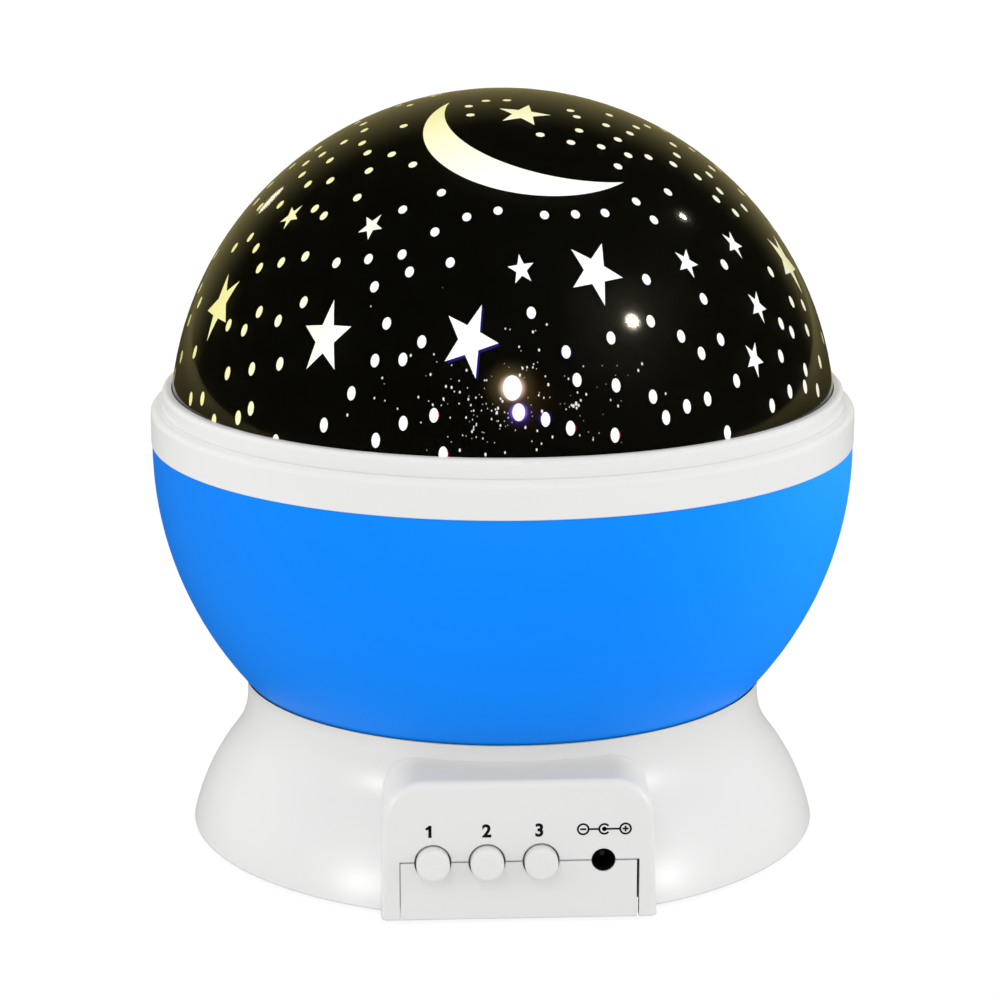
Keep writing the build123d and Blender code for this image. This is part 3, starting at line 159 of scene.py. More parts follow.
# Studio: an even white room, a floor that keeps the shadow, soft boxes, small lamps for the gloss
whites = ("base_shell", "bottom_cover", "rim_ring", "dome_collar", "button_1", "button_2",
          "button_3")
studio = {
    "ambient": 0.8,  # light of the room on matt surfaces
    "mirrorTint": "#DFD08F",  # the room in gloss: dim before the lamp, paler and warm behind it
    "mirrorFront": 0.02,
    "mirrorBack": 0.4,
    "roomFade": (0.66, 1.0),  # where the room pales: 1 is straight behind, 0 is at the sides
    "floorNear": 0.05,  # the floor in gloss close to the lamp; far away it is like the room behind
    "floorFade": (0.15, 1.6),  # metres from the lamp between which the floor pales
    "floorHalf": 2,  # metres from the middle to the floor's edges
    "floorGlow": 0.84,  # share of the floor's white that no shadow reaches
    "floorWhite": 1.07,
    "floorColour": "#F4F4F4",
    "aim": (0, 0, 0.06),  # the point that all boxes face
    "boxes": {
        # place, size in metres, power in watts, what it lights (None: all), matt light, gloss
        "key": ((-0.35, -0.8, 0.95), (0.45, 0.35), 1.35, None, True, False),
        "right": ((0.9, -0.3, 0.4), (0.5, 0.7), 1.8, None, True, False),
        "left": ((-0.9, -0.4, 0.45), (0.5, 0.7), 1.3, None, True, False),
        "low": ((0.1, -1.0, 0.06), (1.2, 0.1), 0.35, None, True, False),
        "rimRight": ((0.7, 0.45, 0.3), (0.4, 0.6), 1.7, whites, True, False),
        "rimLeft": ((-0.7, 0.45, 0.3), (0.4, 0.6), 1.7, whites, True, False),
        "flareLeft": ((-0.71, -0.5, 0.21), (0.1, 0.08), 1.9, ("base_shell",), False, True),
        "flareRight": ((0.73, -0.47, 0.21), (0.1, 0.08), 1.9, ("base_shell",), False, True),
        "bowlRight": ((0.8, 0.3, 0.35), (0.6, 0.6), 8.0, ("bowl_shell",), True, True),
        "bowlLow": ((0.1, -0.9, 0.02), (0.9, 0.1), 1.3, ("bowl_shell",), True, True),
        "bowlBack": ((0.55, 0.75, 0.25), (0.5, 0.5), 1.6, ("bowl_shell",), True, True),
    },
    "glints": {
        # azimuth and elevation of the dome's normal there, power in watts, radius in metres
        "glintHigh": ((20.9, 27.8), 0.75, 0.022),
        "glintSide": ((43.1, 44.8), 0.06, 0.01),
        "glintRim": ((-75.5, 45.0), 0.028, 0.026),
    },
    "glintColour": "#FFF4D6",
    "glintAway": 0.7,  # metres from the dome
}


def straightSight(tree):
    # 1 for what the camera sees directly or through clear plastic, with no mirroring on the way;
    # a depth counts the bounces, so less than a half is none
    rays = addNode(tree, "ShaderNodeLightPath").outputs
    seen = maths(tree, "MAXIMUM", rays["Is Camera Ray"], rays["Is Transmission Ray"])
    turns = maths(tree, "ADD", rays["Glossy Depth"], rays["Diffuse Depth"])
    return maths(tree, "MULTIPLY", seen, maths(tree, "LESS_THAN", turns, 0.5))


def mirroredSight(tree):
    # 1 for what gloss shows, also through clear plastic
    rays = addNode(tree, "ShaderNodeLightPath").outputs
    glossy = maths(tree, "GREATER_THAN", rays["Glossy Depth"], 0.5)
    return maths(tree, "MULTIPLY", glossy, maths(tree, "LESS_THAN", rays["Diffuse Depth"], 0.5))


def studioWorld(settings):
    world = bpy.data.worlds.new("studio")
    scene.world = world
    world.use_nodes = True
    world.cycles.sampling_method = "NONE"
    tree = world.node_tree
    tree.nodes.clear()
    way = addNode(tree, "ShaderNodeTexCoord").outputs["Generated"]
    behind = addNode(tree, "ShaderNodeSeparateXYZ", {0: way}).outputs["Y"]
    room = ramp(tree, behind, *settings["roomFade"], settings["mirrorFront"],
                settings["mirrorBack"], "SMOOTHSTEP")
    mirror = mirroredSight(tree)
    gloss = addNode(tree, "ShaderNodeMix", {
        "Factor": mirror, "A": settings["ambient"], "B": room}).outputs[0]
    strength = addNode(tree, "ShaderNodeMix", {
        "Factor": straightSight(tree), "A": gloss, "B": 1.0}).outputs[0]
    tint = mixColours(tree, mirror, "#FFFFFF", settings["mirrorTint"])
    light = addNode(tree, "ShaderNodeBackground", {"Color": tint, "Strength": strength})
    addNode(tree, "ShaderNodeOutputWorld", {"Surface": light.outputs[0]})


def studioFloor(settings):
    # uncoated white background paper: flat and even, with a soft shadow
    material, tree = newMaterial("studio paper")
    material.cycles.emission_sampling = "NONE"
    matt = addNode(tree, "ShaderNodeBsdfDiffuse", {"Color": linearColour(settings["floorColour"])})
    glow = addNode(tree, "ShaderNodeEmission", {
        "Color": linearColour("#FFFFFF"), "Strength": settings["floorWhite"]})
    away = addNode(tree, "ShaderNodeVectorMath", {"operation": "LENGTH", 0: onPiece(tree)})
    fade = ramp(tree, away.outputs["Value"], *settings["floorFade"], settings["floorNear"],
                settings["mirrorBack"], "SMOOTHSTEP")
    dim = addNode(tree, "ShaderNodeEmission", {
        "Color": linearColour(settings["mirrorTint"]), "Strength": fade})
    share = maths(tree, "MULTIPLY", straightSight(tree), settings["floorGlow"])
    lit = addNode(tree, "ShaderNodeMixShader", {0: share, 1: matt.outputs[0], 2: glow.outputs[0]})
    showShader(tree, addNode(tree, "ShaderNodeMixShader", {
        0: mirroredSight(tree), 1: lit.outputs[0], 2: dim.outputs[0]}))
    half = settings["floorHalf"]
    corners = [(-half, -half, 0), (half, -half, 0), (half, half, 0), (-half, half, 0)]
    floor = meshPiece("studioFloor", corners, [(0, 1, 2, 3)], material)


def areaLamp(name, shape, size, power, place, aim):
    # a lamp that faces a point; the camera doesn't see it
    light = bpy.data.lights.new(name, "AREA")
    light.shape = shape
    light.size, light.size_y = size
    light.energy = power
    lamp = bpy.data.objects.new(name, light)
    scene.collection.objects.link(lamp)
    lamp.location = place
    lamp.rotation_euler = (Vector(aim) - Vector(place)).to_track_quat("-Z", "Y").to_euler()
    lamp.visible_camera = False
    return lamp


def linkLamp(lamp, names):
    # the lamp lights only these pieces
    group = bpy.data.collections.new(lamp.name)
    for name in names:
        group.objects.link(bpy.data.objects[name] if name in bpy.data.objects else nodes[name])
    lamp.light_linking.receiver_collection = group


def studioLamps(settings):
    for name, (place, size, power, lit, matt, gloss) in settings["boxes"].items():
        lamp = areaLamp(name, "RECTANGLE", size, power, place, settings["aim"])
        lamp.visible_diffuse = matt
        lamp.visible_glossy = gloss
        lamp.visible_transmission = False
        if lit:
            linkLamp(lamp, lit)


def outward(azimuth, elevation):
    # direction from a centre: azimuth from the front, elevation from level
    turn, rise = math.radians(azimuth), math.radians(elevation)
    level = math.cos(rise)
    return Vector((math.sin(turn) * level, -math.cos(turn) * level, math.sin(rise)))


def glintLamps(settings):
    # small round lamps, each placed where the dome mirrors it at a given spot
    low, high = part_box("star_dome")
    radius = (high.x - low.x) / 2
    middle = Vector((0, 0, high.z - radius))
    for name, (place, power, size) in settings["glints"].items():
        normal = outward(*place)
        spot = middle + normal * radius
        toEye = (scene.camera.location - spot).normalized()
        away = 2 * normal.dot(toEye) * normal - toEye
        lamp = areaLamp(name, "DISK", (2 * size, 2 * size), power,
                        spot + away * settings["glintAway"], spot)
        lamp.data.color = linearColour(settings["glintColour"])[:3]
        linkLamp(lamp, ("star_dome", "filmPrint"))


studioWorld(studio)
studioFloor(studio)
scene.view_settings.view_transform = "Standard"
print("studio set")

# Moulded ABS, from a tool with a fine spark finish: a soft even sheen, tiny grain, rounded edges
absFinishes = {
    # colour, its darker neighbour, roughness, gloss, grain in mm, relief of the grain, radius of
    # the edges in mm
    "shellWhite": ("#EDEDEC", "#E8E8E7", 0.33, 0.4, 0.45, 0.06, 0.3),
    "ringWhite": ("#EEEEED", "#EAEAE9", 0.33, 0.35, 0.4, 0.04, 0.2),
    "buttonWhite": ("#EDEDEC", "#E8E8E7", 0.32, 0.4, 0.4, 0.03, 0.2),
    "bowlBlue": ("#0488FD", "#0283F8", 0.42, 0.07, 0.5, 0.05, 0.3),
    "deckWhite": ("#E2E2DD", "#DADAD5", 0.6, 0.3, 0.5, 0.1, 0.15),
    "innerGrey": ("#C6C7C9", "#BDBEC0", 0.5, 0.4, 0.5, 0.08, 0.15),
}
absSurface = {
    "flow": 35,  # mm, width of the patches that the plastic's flow leaves
    "uneven": 0.05,  # roughness, up and down
    "depth": 0.05,  # of the grain, in mm
    "ior": 1.53,
    # what a colour throws on its neighbours: grey for the bowl, so that the whites stay white
    "cast": {"bowlBlue": "#8C8F94"},
}


def mouldedAbs(name):
    colour, shade, roughness, sheen, grain, relief, edge = absFinishes[name]
    uneven = absSurface["uneven"]
    material, tree = newMaterial("moulded ABS " + name)
    flow = noise(tree, absSurface["flow"], detail=2.0)
    hue = mixColours(tree, flow, colour, shade)
    if name in absSurface["cast"]:
        bounced = addNode(tree, "ShaderNodeLightPath").outputs["Is Diffuse Ray"]
        hue = mixColours(tree, bounced, hue, absSurface["cast"][name])
    edges = addNode(tree, "ShaderNodeBevel", {"samples": 4, "Radius": edge * mm})
    bump = addNode(tree, "ShaderNodeBump", {
        "Strength": relief, "Distance": absSurface["depth"] * mm,
        "Height": noise(tree, grain, detail=1.0), "Normal": edges.outputs[0]})
    principled(tree, {
        "Base Color": hue, "IOR": absSurface["ior"], "Specular IOR Level": sheen,
        "Roughness": ramp(tree, flow, 0, 1, roughness - uneven, roughness + uneven),
        "Normal": bump.outputs[0]})
    return material


# Polycarbonate, blown into a polished tool: clear, hard and glossy
clearPlastic = {
    "colour": "#FDFDFA",
    "ior": 1.58,
    "gloss": 0.22,
    "haze": 12,  # mm, width of its duller patches
    "roughness": (0.05, 0.09),
}


def clearPolycarbonate():
    material, tree = newMaterial("clear polycarbonate")
    haze = noise(tree, clearPlastic["haze"], detail=3.0)
    principled(tree, {
        "Base Color": linearColour(clearPlastic["colour"]), "IOR": clearPlastic["ior"],
        "Transmission Weight": 1.0, "Specular IOR Level": clearPlastic["gloss"],
        "Roughness": ramp(tree, haze, 0, 1, *clearPlastic["roughness"])})
    return material


# Turned, drawn or stamped metal: fine marks break up its shine
metalFinishes = {
    # colour, roughness, width of the marks in mm
    "zincSteel": ("#B9BABF", 0.32, 0.4),  # steel screws, headed and zinc-plated: a cool soft shine
    "groundSteel": ("#C9CACC", 0.2, 0.2),  # ground shaft steel: the brightest
    "drawnSteel": ("#AEB0B3", 0.28, 0.6),  # deep-drawn steel: greyer, with long marks
    "nickel": ("#C6C2B8", 0.32, 0.3),  # nickel-plated spring steel: bright and slightly warm
    "stampedBrass": ("#D3B165", 0.3, 0.5),  # stamped brass sheet: a soft yellow shine
}
metalSurface = {
    "smoother": 0.08,  # than the finish's roughness, between the marks
    "rougher": 0.1,
    "relief": 0.1,
    "depth": 0.02,  # of the marks, in mm
}


def barMetal(name):
    colour, roughness, width = metalFinishes[name]
    material, tree = newMaterial(name)
    marks = noise(tree, width, detail=4.0)
    bump = addNode(tree, "ShaderNodeBump", {
        "Strength": metalSurface["relief"], "Distance": metalSurface["depth"] * mm,
        "Height": marks})
    principled(tree, {
        "Base Color": linearColour(colour), "Metallic": 1.0,
        "Roughness": ramp(tree, marks, 0, 1, roughness - metalSurface["smoother"],
                          roughness + metalSurface["rougher"]),
        "Normal": bump.outputs[0]})
    return material


plainFinishes = {
    # colour, roughness, grain in mm, relief: what it is
    "footRubber": ("#8C8C8E", 0.85, 0.3, 0.3),  # moulded rubber, dull and dusty
    "acetal": ("#ECEADD", 0.4, 0.5, 0.05),  # natural acetal, moulded, slightly waxy
    "blackNylon": ("#161617", 0.5, 0.4, 0.12),  # moulded nylon, a dull black
    "chipEpoxy": ("#1A1A1B", 0.6, 0.2, 0.2),  # pressed epoxy, matt and gritty
    "greenLaminate": ("#0E5A2E", 0.3, 1.2, 0.1),  # green solder mask over copper, glossy
    "whiteLaminate": ("#E4E6E2", 0.35, 1.2, 0.08),  # white solder mask, glossy
    "cellWrap": ("#2F7A46", 0.25, 2.0, 0.03),  # shrink sleeve, shiny
    "redPvc": ("#A01618", 0.45, 0.8, 0.1),  # soft PVC, drawn over wire, like the next two: satin
    "blackPvc": ("#1B1B1C", 0.45, 0.8, 0.1),
    "yellowPvc": ("#D8B32A", 0.45, 0.8, 0.1),
    "printedInk": ("#101010", 0.55, 0.25, 0.15),  # pad-printed ink, dense and matt
}
plainSurface = {
    "paler": 0.1,  # share by which the colour goes up and down
    "uneven": 0.06,  # roughness, up and down
    "depth": 0.05,  # of the grain, in mm
}


def plainFinish(name):
    colour, roughness, grain, relief = plainFinishes[name]
    paler, uneven = plainSurface["paler"], plainSurface["uneven"]
    material, tree = newMaterial(name)
    texture = noise(tree, grain, detail=3.0)
    tint = addNode(tree, "ShaderNodeHueSaturation", {
        "Color": linearColour(colour), "Value": ramp(tree, texture, 0, 1, 1 - paler, 1 + paler)})
    bump = addNode(tree, "ShaderNodeBump", {
        "Strength": relief, "Distance": plainSurface["depth"] * mm, "Height": texture})
    principled(tree, {
        "Base Color": tint.outputs[0], "Normal": bump.outputs[0],
        "Roughness": ramp(tree, texture, 0, 1, roughness - uneven, roughness + uneven)})
    return material


# Cast epoxy round a lit die: clear, tinted, brightest at the die's height
lampFinishes = {
    # colour, strength of the light
    "lamp_white": ("#FFF6E4", 1.6),
    "lamp_red": ("#FF3B2E", 0.5),
    "lamp_green": ("#3BE070", 0.5),
    "lamp_blue": ("#3E6BFF", 0.6),
}
lampSurface = {
    "reach": 0.6,  # of the die's light, as a share of the lamp's height
    "dimmest": 0.3,  # share of the strength beyond that
    "roughness": 0.08,
    "ior": 1.54,
}


def lampEpoxy(name):
    colour, strength = lampFinishes[name]
    low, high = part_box(name)
    material, tree = newMaterial("cast epoxy " + name)
    away = addNode(tree, "ShaderNodeVectorMath", {
        "operation": "DISTANCE", 0: onPiece(tree), 1: (low + high) / 2})
    lit = ramp(tree, away.outputs["Value"], 0.0, (high.z - low.z) * lampSurface["reach"],
               strength, strength * lampSurface["dimmest"], "SMOOTHSTEP")
    principled(tree, {
        "Base Color": linearColour(colour), "Roughness": lampSurface["roughness"],
        "IOR": lampSurface["ior"], "Emission Color": linearColour(colour),
        "Emission Strength": lit})
    return material


finishOf = {
    mouldedAbs: {
        "shellWhite": ("base_shell", "bottom_cover", "battery_door"),
        "ringWhite": ("rim_ring", "dome_collar"),
        "buttonWhite": ("button_1", "button_2", "button_3"),
        "bowlBlue": ("bowl_shell",),
        "deckWhite": ("light_deck",),
        "innerGrey": ("motor_plate", "motor_clamp", "lamp_pillar"),
    },
    barMetal: {
        "zincSteel": ("cover_screws", "board_screws", "gear_screws", "clamp_screws",
                      "plate_screws", "lamp_screws"),
        "groundSteel": ("motor_shaft",),
        "drawnSteel": ("motor_can",),
        "nickel": ("battery_contacts", "battery_springs", "socket_pin"),
        "stampedBrass": ("gearbox",),
    },
    plainFinish: {
        "footRubber": ("rubber_feet",),
        "acetal": ("ring_gear", "pinion", "thrust_washer"),
        "blackNylon": ("switch_stem_1", "switch_stem_2", "switch_stem_3", "switch_bodies",
                       "power_socket", "motor_end_cap", "dome_retainer"),
        "chipEpoxy": ("controller_chip", "board_parts"),
        "greenLaminate": ("control_board",),
        "whiteLaminate": ("lamp_board",),
        "cellWrap": ("battery_cells",),
        "redPvc": ("battery_wire_plus",),
        "blackPvc": ("battery_wire_minus", "motor_wires"),
        "yellowPvc": ("lamp_wires",),
    },
}


def setMaterial(piece, material):
    piece.data.materials.clear()
    piece.data.materials.append(material)


for maker, finishes in finishOf.items():
    for finish, names in finishes.items():
        material = maker(finish)
        for name in names:
            setMaterial(nodes[name], material)
for name in lampFinishes:
    setMaterial(nodes[name], lampEpoxy(name))
setMaterial(nodes["star_dome"], clearPolycarbonate())
print("finishes given to the frame's nodes")

# Dome film: a black print with clear windows. Places are azimuth from the front and elevation in
# degrees; sizes are in mm. It is formed from a flat sheet, so windows near the rim are taller.
domeFilm = {
    "radius": 56.06,  # it lies flat on the clear shell's inside
    "rise": 55.953,  # from its centre to the top of the frame's film
    "wall": 0.35,
    "proud": 0.02,  # how far a window stands out of the print on both sides
    "crease": 40,  # degrees
    "shell": 1.14,  # of clear plastic over the film, through which the windows are seen
    "bigStar": (4.5, 5),  # from the middle to a point; rings of its mesh
    "smallStar": (2.15, 3),
    "starWaist": 0.4,  # inner corners, as a share of the points' distance
    "starTall": (1.6, 0.0085),  # taller than wide by this at the rim, less by this per degree
    "dot": 0.72,
    "dotTall": (1.77, 0.0125),
    "lampTall": 0.88,  # the lit spots, against a dot's shape
    "moonPlace": (-1.8, 63.3),
    "moonCircle": (4.9, 6.9, 18.1),  # centre east and north of its place, radius
    "shadeCircle": (10.0, 12.9, 19.7),  # the circle that hollows the moon
}
filmCentre = Vector((0, 0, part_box("star_film")[1].z - domeFilm["rise"] * mm))

# azimuth, elevation, tilt in degrees clockwise
bigStars = [
    (15.6, 36.5, 30), (-8.6, 25.5, 21), (-35.4, 24.3, -4), (-67, 25.5, -34), (74, 31.5, 40),
    (10, 74.6, 25), (112, 27, 10), (150, 34, -20), (186, 26, 15), (-142, 30, 35), (-103, 33, -8),
]
smallStars = [
    (0.8, 37.4, -7), (37, 36.5, 32), (53.7, 38, 35), (51.4, 26.9, 35), (45.6, 18.8, 35),
    (-33.7, 44.2, 22), (-59.5, 43.6, 20), (95, 47, 5), (131, 19, -15), (126, 50, 30),
    (168, 17, 8), (172, 52, -25), (-162, 43, 18), (-166, 19, -30), (-122, 49, 0), (-120, 18, 26),
    (-90, 20, -12), (-104, 52, 33), (148, 70, 12), (-152, 69.5, -20), (102, 70, 31),
    (-108, 78, 8),
]
# trails of dots: how many, and the points that they pass
dotTrails = [
    (2, (-69, 9), (-64, 10)), (2, (-52, 9), (-49, 11)), (3, (-57, 15.5), (-44, 19)),
    (1, (-71.5, 16.5)), (2, (-61, 23), (-55.5, 23)),
    (3, (-53, 26.5), (-47.5, 25.5), (-42.5, 29.5)), (2, (-33, 10.5), (-23.5, 9)),
    (2, (-19, 12), (-14, 13.5)), (1, (-28.5, 16)), (2, (-25, 21.5), (-20, 22)),
    (3, (-28, 33.5), (-25, 28), (-17, 25)), (2, (-21.5, 36.5), (-13.5, 38.5)),
    (3, (-59, 33.5), (-47, 37.2)), (3, (-38.3, 36.9), (-24, 39.5)),
    (3, (-75, 35), (-71, 38), (-64.5, 36.5)), (1, (-68, 45)), (2, (-53, 46), (-48.5, 45)),
    (2, (-27.5, 48), (-19, 52)), (3, (-18, 44), (-12, 47), (-4, 48.5)),
    (3, (7, 47.5), (22, 47.3)), (1, (32, 49)), (1, (34, 45)),
    (3, (-72, 51.5), (-62.5, 50), (-56, 52)), (1, (-42, 49.5)), (2, (-75, 56.5), (-66, 56)),
    (3, (-61, 61.5), (-52.5, 59.5), (-45, 55.5)), (2, (-42, 60), (-31.5, 58)),
    (2, (-72.5, 60.5), (-72, 64.5)), (1, (-52.5, 68)), (3, (-21, 81), (-31, 77.5), (-22.5, 74)),
    (1, (2, 81.5)), (2, (44.5, 74.5), (41, 72)), (1, (66, 70.5)),
    (6, (13, 67), (32, 62), (44, 63.5), (67, 65.5)), (2, (32, 67.5), (50, 68)),
    (6, (34, 57), (44, 60), (58, 55), (72.5, 59)), (1, (44, 50)),
    (3, (60.5, 46.5), (68, 48), (70, 51)), (1, (62, 51.5)), (2, (64, 43), (71.5, 43)),
    (1, (47, 35)), (1, (62, 31.5)), (2, (26, 34.5), (37.5, 30)),
    (3, (24.5, 27.5), (17, 25.5), (8, 23.5)), (3, (30, 24.5), (32.5, 21), (38.5, 23)),
    (3, (9.5, 19), (15.5, 18), (22.5, 15.5)), (3, (24.5, 12), (28.5, 13.3), (33, 14)),
    (1, (40, 16)), (1, (2.3, 30)), (2, (8, 11.5), (15.3, 10)), (1, (4, 13)),
    (3, (53.5, 18), (62, 14), (70, 14)), (2, (60, 21), (57, 23)),
    (3, (65, 25.5), (71.5, 23.7), (67.5, 20)), (3, (54, 12), (59, 12), (65.5, 10)),
    (1, (48, 10.7)), (1, (-59, 7.2)), (1, (-42.5, 6.6)), (1, (-12.3, 7.5)), (1, (36.4, 8.1)),
    (1, (-78.5, 53.6)), (1, (-0.5, 5.8)),
]
trailTurns = (150, -150)  # the trails come again behind, turned by this much
backTrails = [
    (3, (98, 63), (122, 66)), (2, (118, 72), (138, 75)), (3, (141, 62), (163, 66)),
    (2, (170, 74), (190, 77)), (3, (196, 65), (222, 62)), (2, (222, 71), (240, 73)),
    (2, (240, 65), (256, 63)), (1, (182, 84)), (2, (262, 72), (276, 74)),
    (2, (178, 69), (190, 71)), (1, (228, 66)), (1, (104, 78)), (1, (132, 82)), (1, (236, 80)),
    (2, (152, 79), (160, 76)),
]
# the room that dots keep
spacing = {
    "star": 1.45,  # round a star, in its sizes
    "lamp": 2.6,  # round a lit spot, in its half widths
    "dot": 0.04,  # round a dot, in radians
    "turned": 0.03,  # radians that the turned trails add to each of these
    "back": 0.02,  # and that the back's trails add
    "turnedTop": 66,  # degrees up, where the turned trails end
}
# lit spots where a lamp shines straight through the front: place and half width
lampSpots = [((-1.3, 18.0), 1.45), ((-0.3, 14.2), 0.98)]
# painted glow round some windows: place, radius where it starts, how far it reaches, colour
lampGlows = [
    ((-1.3, 18.0), 1.4, 1.2, "#F2CFC6"), ((-1.6, 18.3), 1.4, 3.6, "#5E5232"),
    ((0.4, 16.0), 1.0, 6.0, "#2C1D0D"), ((-0.3, 14.2), 1.0, 0.8, "#8A68F2"),
    ((-0.2, 14.0), 1.0, 1.8, "#2C1C68"), ((3.9, 13.2), 0.78, 0.7, "#28167C"),
    ((8.08, 11.5), 0.73, 0.25, "#E02010"), ((15.38, 10.0), 0.74, 0.25, "#F02818"),
    ((-13.92, 13.5), 0.73, 0.25, "#C01818"), ((-12.22, 7.5), 0.73, 0.22, "#C01818"),
    ((8.05, 23.4), 0.73, 0.6, "#180F58"),
]
# windows with a painted violet glow at the edge, for the blue lamp: place, tilt, shift of the edge
# in mm
blueEdges = [((-8.6, 25.5), 21, (0.32, -0.38))]
# tiny holes in the print round the lamps, where the ink is thin
pinholes = {
    "seed": 11,
    "tries": 210,
    "middle": (-1.5, 16),
    "spread": (8, 5.2),  # degrees
    "size": (0.05, 0.14),  # the least, and how much more at most
    "lowest": 7.5,  # degrees
    "clear": 0.6,  # of the room that dots keep
    "corners": 8,
    "knot": (9.1, 15.3),  # four larger ones close together
    "inKnot": ((0, 0, 0.22), (-0.45, -0.35, 0.2), (0.4, -0.3, 0.17), (0.05, -0.7, 0.15)),
}


def skyPlane(azimuth, elevation):
    # outward, east and north directions of the film at a place seen through the clear shell
    out = outward(azimuth, elevation)
    toEye = scene.camera.location - filmCentre - out * domeFilm["radius"] * mm
    inside = math.asin(math.sin(out.angle(toEye)) / clearPlastic["ior"])
    shift = domeFilm["shell"] / domeFilm["radius"] * math.tan(inside)
    out.rotate(Quaternion(toEye.cross(out), shift))
    east = Vector((-out.y, out.x, 0)).normalized()
    return out, east, out.cross(east)


def taller(kind, elevation):
    # how much taller than wide a star or a dot is
    rim, less = domeFilm[kind]
    return rim - less * elevation


class WindowMesh:
    # collects curved plates that stand through the film
    def __init__(self, proud=domeFilm["proud"]):
        self.proud = proud
        self.points = []
        self.faces = []

    def addPlate(self, place, flat, faces, border):
        # flat: points east and north of the place in mm; faces index them; border runs round them
        out, east, north = skyPlane(*place)
        radii = (domeFilm["radius"] + self.proud,
                 domeFilm["radius"] - domeFilm["wall"] - self.proud)
        start = len(self.points)
        for radius in radii:
            for x, y in flat:
                depth = math.sqrt(radius ** 2 - x ** 2 - y ** 2)
                self.points.append(filmCentre + mm * (x * east + y * north + depth * out))
        inner = start + len(flat)
        for face in faces:
            self.faces.append([start + index for index in face])
            self.faces.append([inner + index for index in reversed(face)])
        for first, second in zip(border, border[1:] + border[:1]):
            self.faces.append([start + second, start + first, inner + first, inner + second])

    def addOutline(self, place, outline, rings):
        # a plate from an outline round its place, with rings of points inside it
        size = len(outline)
        flat = [(0.0, 0.0)]
        for ring in range(1, rings + 1):
            flat += [(x * ring / rings, y * ring / rings) for x, y in outline]
        faces = [[0, 1 + corner, 1 + (corner + 1) % size] for corner in range(size)]
        for ring in range(rings - 1):
            low, high = 1 + ring * size, 1 + (ring + 1) * size
            for corner in range(size):
                after = (corner + 1) % size
                faces.append([low + corner, high + corner, high + after, low + after])
        border = [1 + (rings - 1) * size + corner for corner in range(size)]
        self.addPlate(place, flat, faces, border)

    def addDot(self, place):
        self.addOutline(place, dotOutline(place, domeFilm["dot"]), rings=1)

    def piece(self, name, material):
        return meshPiece(name, self.points, self.faces, material, domeFilm["crease"])


def starOutline(place, size, tilt):
    # ten corners, with points between them so that the edges follow the dome
    corners = []
    for corner in range(10):
        turn = math.radians(tilt + 36 * corner)
        share = domeFilm["starWaist"] if corner % 2 else 1
        corners.append(Vector((share * size * math.sin(turn),
                               share * size * taller("starTall", place[1]) * math.cos(turn))))
    outline = []
    for corner, after in zip(corners, corners[1:] + corners[:1]):
        outline += [tuple(corner.lerp(after, step / 3)) for step in range(3)]
    return outline[::-1]


def dotOutline(place, size, corners=16, height=1.0):
    tall = size * height * taller("dotTall", place[1])
    turns = [2 * math.pi * corner / corners for corner in range(corners)]
    return [(size * math.cos(turn), tall * math.sin(turn)) for turn in turns]


def addMoon(windows, steps=64, across=5):
    # the crescent between two circles, from tip to tip
    east, north, radius = domeFilm["moonCircle"]
    eastIn, northIn, radiusIn = domeFilm["shadeCircle"]
    gap = Vector((eastIn - east, northIn - north))
    along = (gap.length ** 2 + radius ** 2 - radiusIn ** 2) / (2 * gap.length)
    half = math.sqrt(radius ** 2 - along ** 2)
    way = math.atan2(gap.y, gap.x)
    opening = math.atan2(half, along)
    openingIn = math.atan2(half, along - gap.length)
    flat = []
    for step in range(steps + 1):
        share = step / steps
        turn = way + opening + share * (2 * math.pi - 2 * opening)
        turnIn = way + openingIn + share * (2 * math.pi - 2 * openingIn)
        outer = Vector((east + radius * math.cos(turn), north + radius * math.sin(turn)))
        inner = Vector((eastIn + radiusIn * math.cos(turnIn),
                        northIn + radiusIn * math.sin(turnIn)))
        if step in (0, steps):
            flat.append(tuple(outer))
        else:
            flat += [tuple(outer.lerp(inner, row / across)) for row in range(across + 1)]
    rows = across + 1
    last = len(flat) - 1
    faces = [[0, 1 + row, 2 + row] for row in range(across)]
    for step in range(steps - 2):
        low, high = 1 + step * rows, 1 + (step + 1) * rows
        faces += [[low + row, high + row, high + row + 1, low + row + 1] for row in range(across)]
    final = 1 + (steps - 2) * rows
    faces += [[final + row, last, final + row + 1] for row in range(across)]
    outerSide = [1 + step * rows for step in range(steps - 1)]
    innerSide = [index + across for index in outerSide]
    border = [0] + outerSide + [last] + innerSide[::-1]
    windows.addPlate(domeFilm["moonPlace"], flat, faces, border)


def trailPlaces(trails):
    # evenly spaced places along the points of each trail
    places = []
    for count, *stops in trails:
        if count == 1:
            places += stops
            continue
        lengths = [math.dist(first, second) for first, second in zip(stops, stops[1:])]
        for number in range(count):
            left = sum(lengths) * number / (count - 1)
            leg = 0
            while leg < len(lengths) - 1 and left > lengths[leg]:
                left -= lengths[leg]
                leg += 1
            share = left / lengths[leg]
            places.append(tuple(a + (b - a) * share for a, b in zip(stops[leg], stops[leg + 1])))
    return places


# Clear film, formed over a ball, with the lamps' light behind it: white ahead, and a warm pale
# yellow round the sides
filmLight = {
    "ahead": (12, 14),  # where the light is whitest
    "white": "#FFFFFF",
    "warm": "#F7F2A6",
    "fade": (0.25, 0.86),  # from warm to white, as shares of the radius towards ahead
    "colour": "#10100E",
    "roughness": 0.4,
    "windows": 1.18,  # strengths
    "pinholes": 0.85,
}
# The film's cut edge, thin and bare: it pipes the blue lamp's light, a deep violet, painted as a
# glow
edgeLight = {"colour": "#0A0A14", "light": "#1F1470", "roughness": 0.35}
